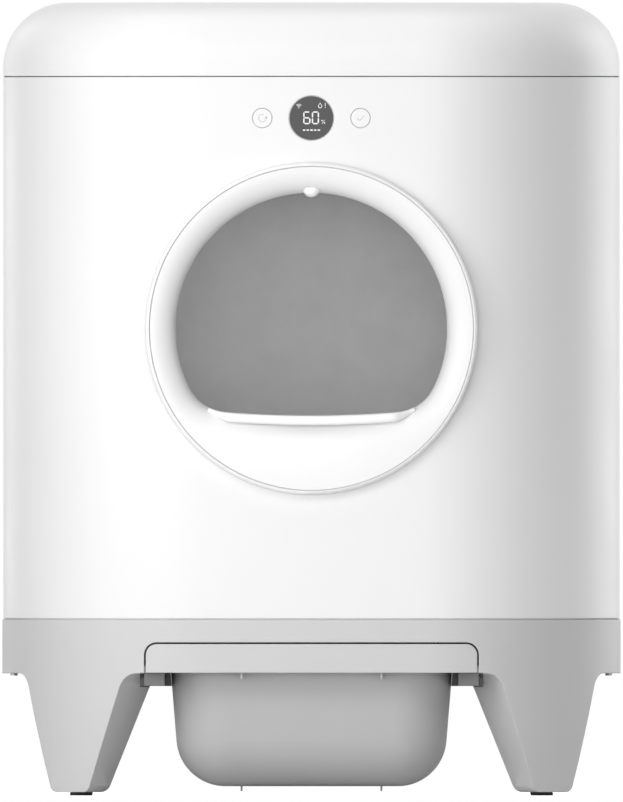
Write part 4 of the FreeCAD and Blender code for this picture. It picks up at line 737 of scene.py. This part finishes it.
def stage_material():
    """White floor for the camera that still shows the object's shadow."""
    material = bpy.data.materials.new("studio_white")
    material.use_nodes = True
    tree = material.node_tree
    tree.nodes.clear()
    out = tree.nodes.new("ShaderNodeOutputMaterial")
    path = tree.nodes.new("ShaderNodeLightPath")
    diffuse = tree.nodes.new("ShaderNodeBsdfDiffuse")
    diffuse.inputs["Color"].default_value = FLOOR_COLOUR
    glow = tree.nodes.new("ShaderNodeEmission")
    glow.inputs["Strength"].default_value = FLOOR_GLOW
    add = tree.nodes.new("ShaderNodeAddShader")
    mix = tree.nodes.new("ShaderNodeMixShader")
    link(tree, path, "Is Camera Ray", mix, 0)
    link(tree, diffuse, 0, mix, 1)
    link(tree, diffuse, 0, add, 0)
    link(tree, glow, 0, add, 1)
    link(tree, add, 0, mix, 2)
    link(tree, mix, 0, out, 0)
    return material


def build_stage():
    mesh = bpy.data.meshes.new("studio_floor")
    corners = [(-FLOOR_HALF, -FLOOR_HALF, 0), (FLOOR_HALF, -FLOOR_HALF, 0),
               (FLOOR_HALF, FLOOR_HALF, 0), (-FLOOR_HALF, FLOOR_HALF, 0)]
    mesh.from_pydata(corners, [], [(0, 1, 2, 3)])
    floor = bpy.data.objects.new("studio_floor", mesh)
    bpy.context.scene.collection.objects.link(floor)
    mesh.materials.append(stage_material())


def build_world():
    """Faint fill for the object, white for the camera and for glossy and clear surfaces."""
    world = bpy.data.worlds.new("studio")
    bpy.context.scene.world = world
    world.use_nodes = True
    tree = world.node_tree
    tree.nodes.clear()
    out = tree.nodes.new("ShaderNodeOutputWorld")
    path = tree.nodes.new("ShaderNodeLightPath")
    seen = tree.nodes.new("ShaderNodeMath")
    seen.operation = "MAXIMUM"
    also = tree.nodes.new("ShaderNodeMath")
    also.operation = "MAXIMUM"
    link(tree, path, "Is Camera Ray", seen, 0)
    link(tree, path, "Is Transmission Ray", seen, 1)
    link(tree, path, "Is Glossy Ray", also, 0)
    link(tree, seen, 0, also, 1)
    shades = []
    for strength in (WORLD_FILL, WORLD_WHITE):
        shade = tree.nodes.new("ShaderNodeBackground")
        shade.inputs["Color"].default_value = (1, 1, 1, 1)
        shade.inputs["Strength"].default_value = strength
        shades.append(shade)
    mix = tree.nodes.new("ShaderNodeMixShader")
    link(tree, also, 0, mix, 0)
    link(tree, shades[0], 0, mix, 1)
    link(tree, shades[1], 0, mix, 2)
    link(tree, mix, 0, out, 0)


def place_lamp(data, place, target):
    lamp = bpy.data.objects.new(data.name, data)
    lamp.location = place
    lamp.rotation_euler = (Vector(target) - Vector(place)).to_track_quat("-Z", "Y").to_euler()
    bpy.context.scene.collection.objects.link(lamp)


def area_lights():
    for name, (place, (size_x, size_y), power) in LAMPS.items():
        data = bpy.data.lights.new(name, "AREA")
        data.shape = "RECTANGLE"
        data.size = size_x
        data.size_y = size_y
        data.energy = power
        place_lamp(data, place, LIT_POINT)


def cabin_light():
    """Narrow lamp through the entrance, so that the drum's inside is seen."""
    data = bpy.data.lights.new("through_entrance", "SPOT")
    data.energy = CABIN_LAMP_POWER
    data.spot_size = math.radians(CABIN_LAMP_ANGLE)
    data.spot_blend = CABIN_LAMP_BLEND
    data.shadow_soft_size = CABIN_LAMP_SIZE
    place_lamp(data, CABIN_LAMP_PLACE, CABIN_LAMP_TARGET)


def build_camera():
    data = bpy.data.cameras.new("camera")
    data.type = "PERSP"
    data.sensor_width = SENSOR_WIDTH
    data.lens = SENSOR_WIDTH * CAMERA_DISTANCE / (FRAME_HEIGHT * METRES_PER_PIXEL)
    data.clip_start = CLIP_NEAR
    data.clip_end = 2.0 * CAMERA_DISTANCE
    camera = bpy.data.objects.new("camera", data)
    camera.location = (0, -CAMERA_DISTANCE, VIEW_CENTRE_Z)
    camera.rotation_euler = (math.radians(90), 0, 0)
    bpy.context.scene.collection.objects.link(camera)
    bpy.context.scene.camera = camera


build_stage()
build_world()
area_lights()
cabin_light()
build_camera()
bpy.context.scene.view_settings.view_transform = "Standard"
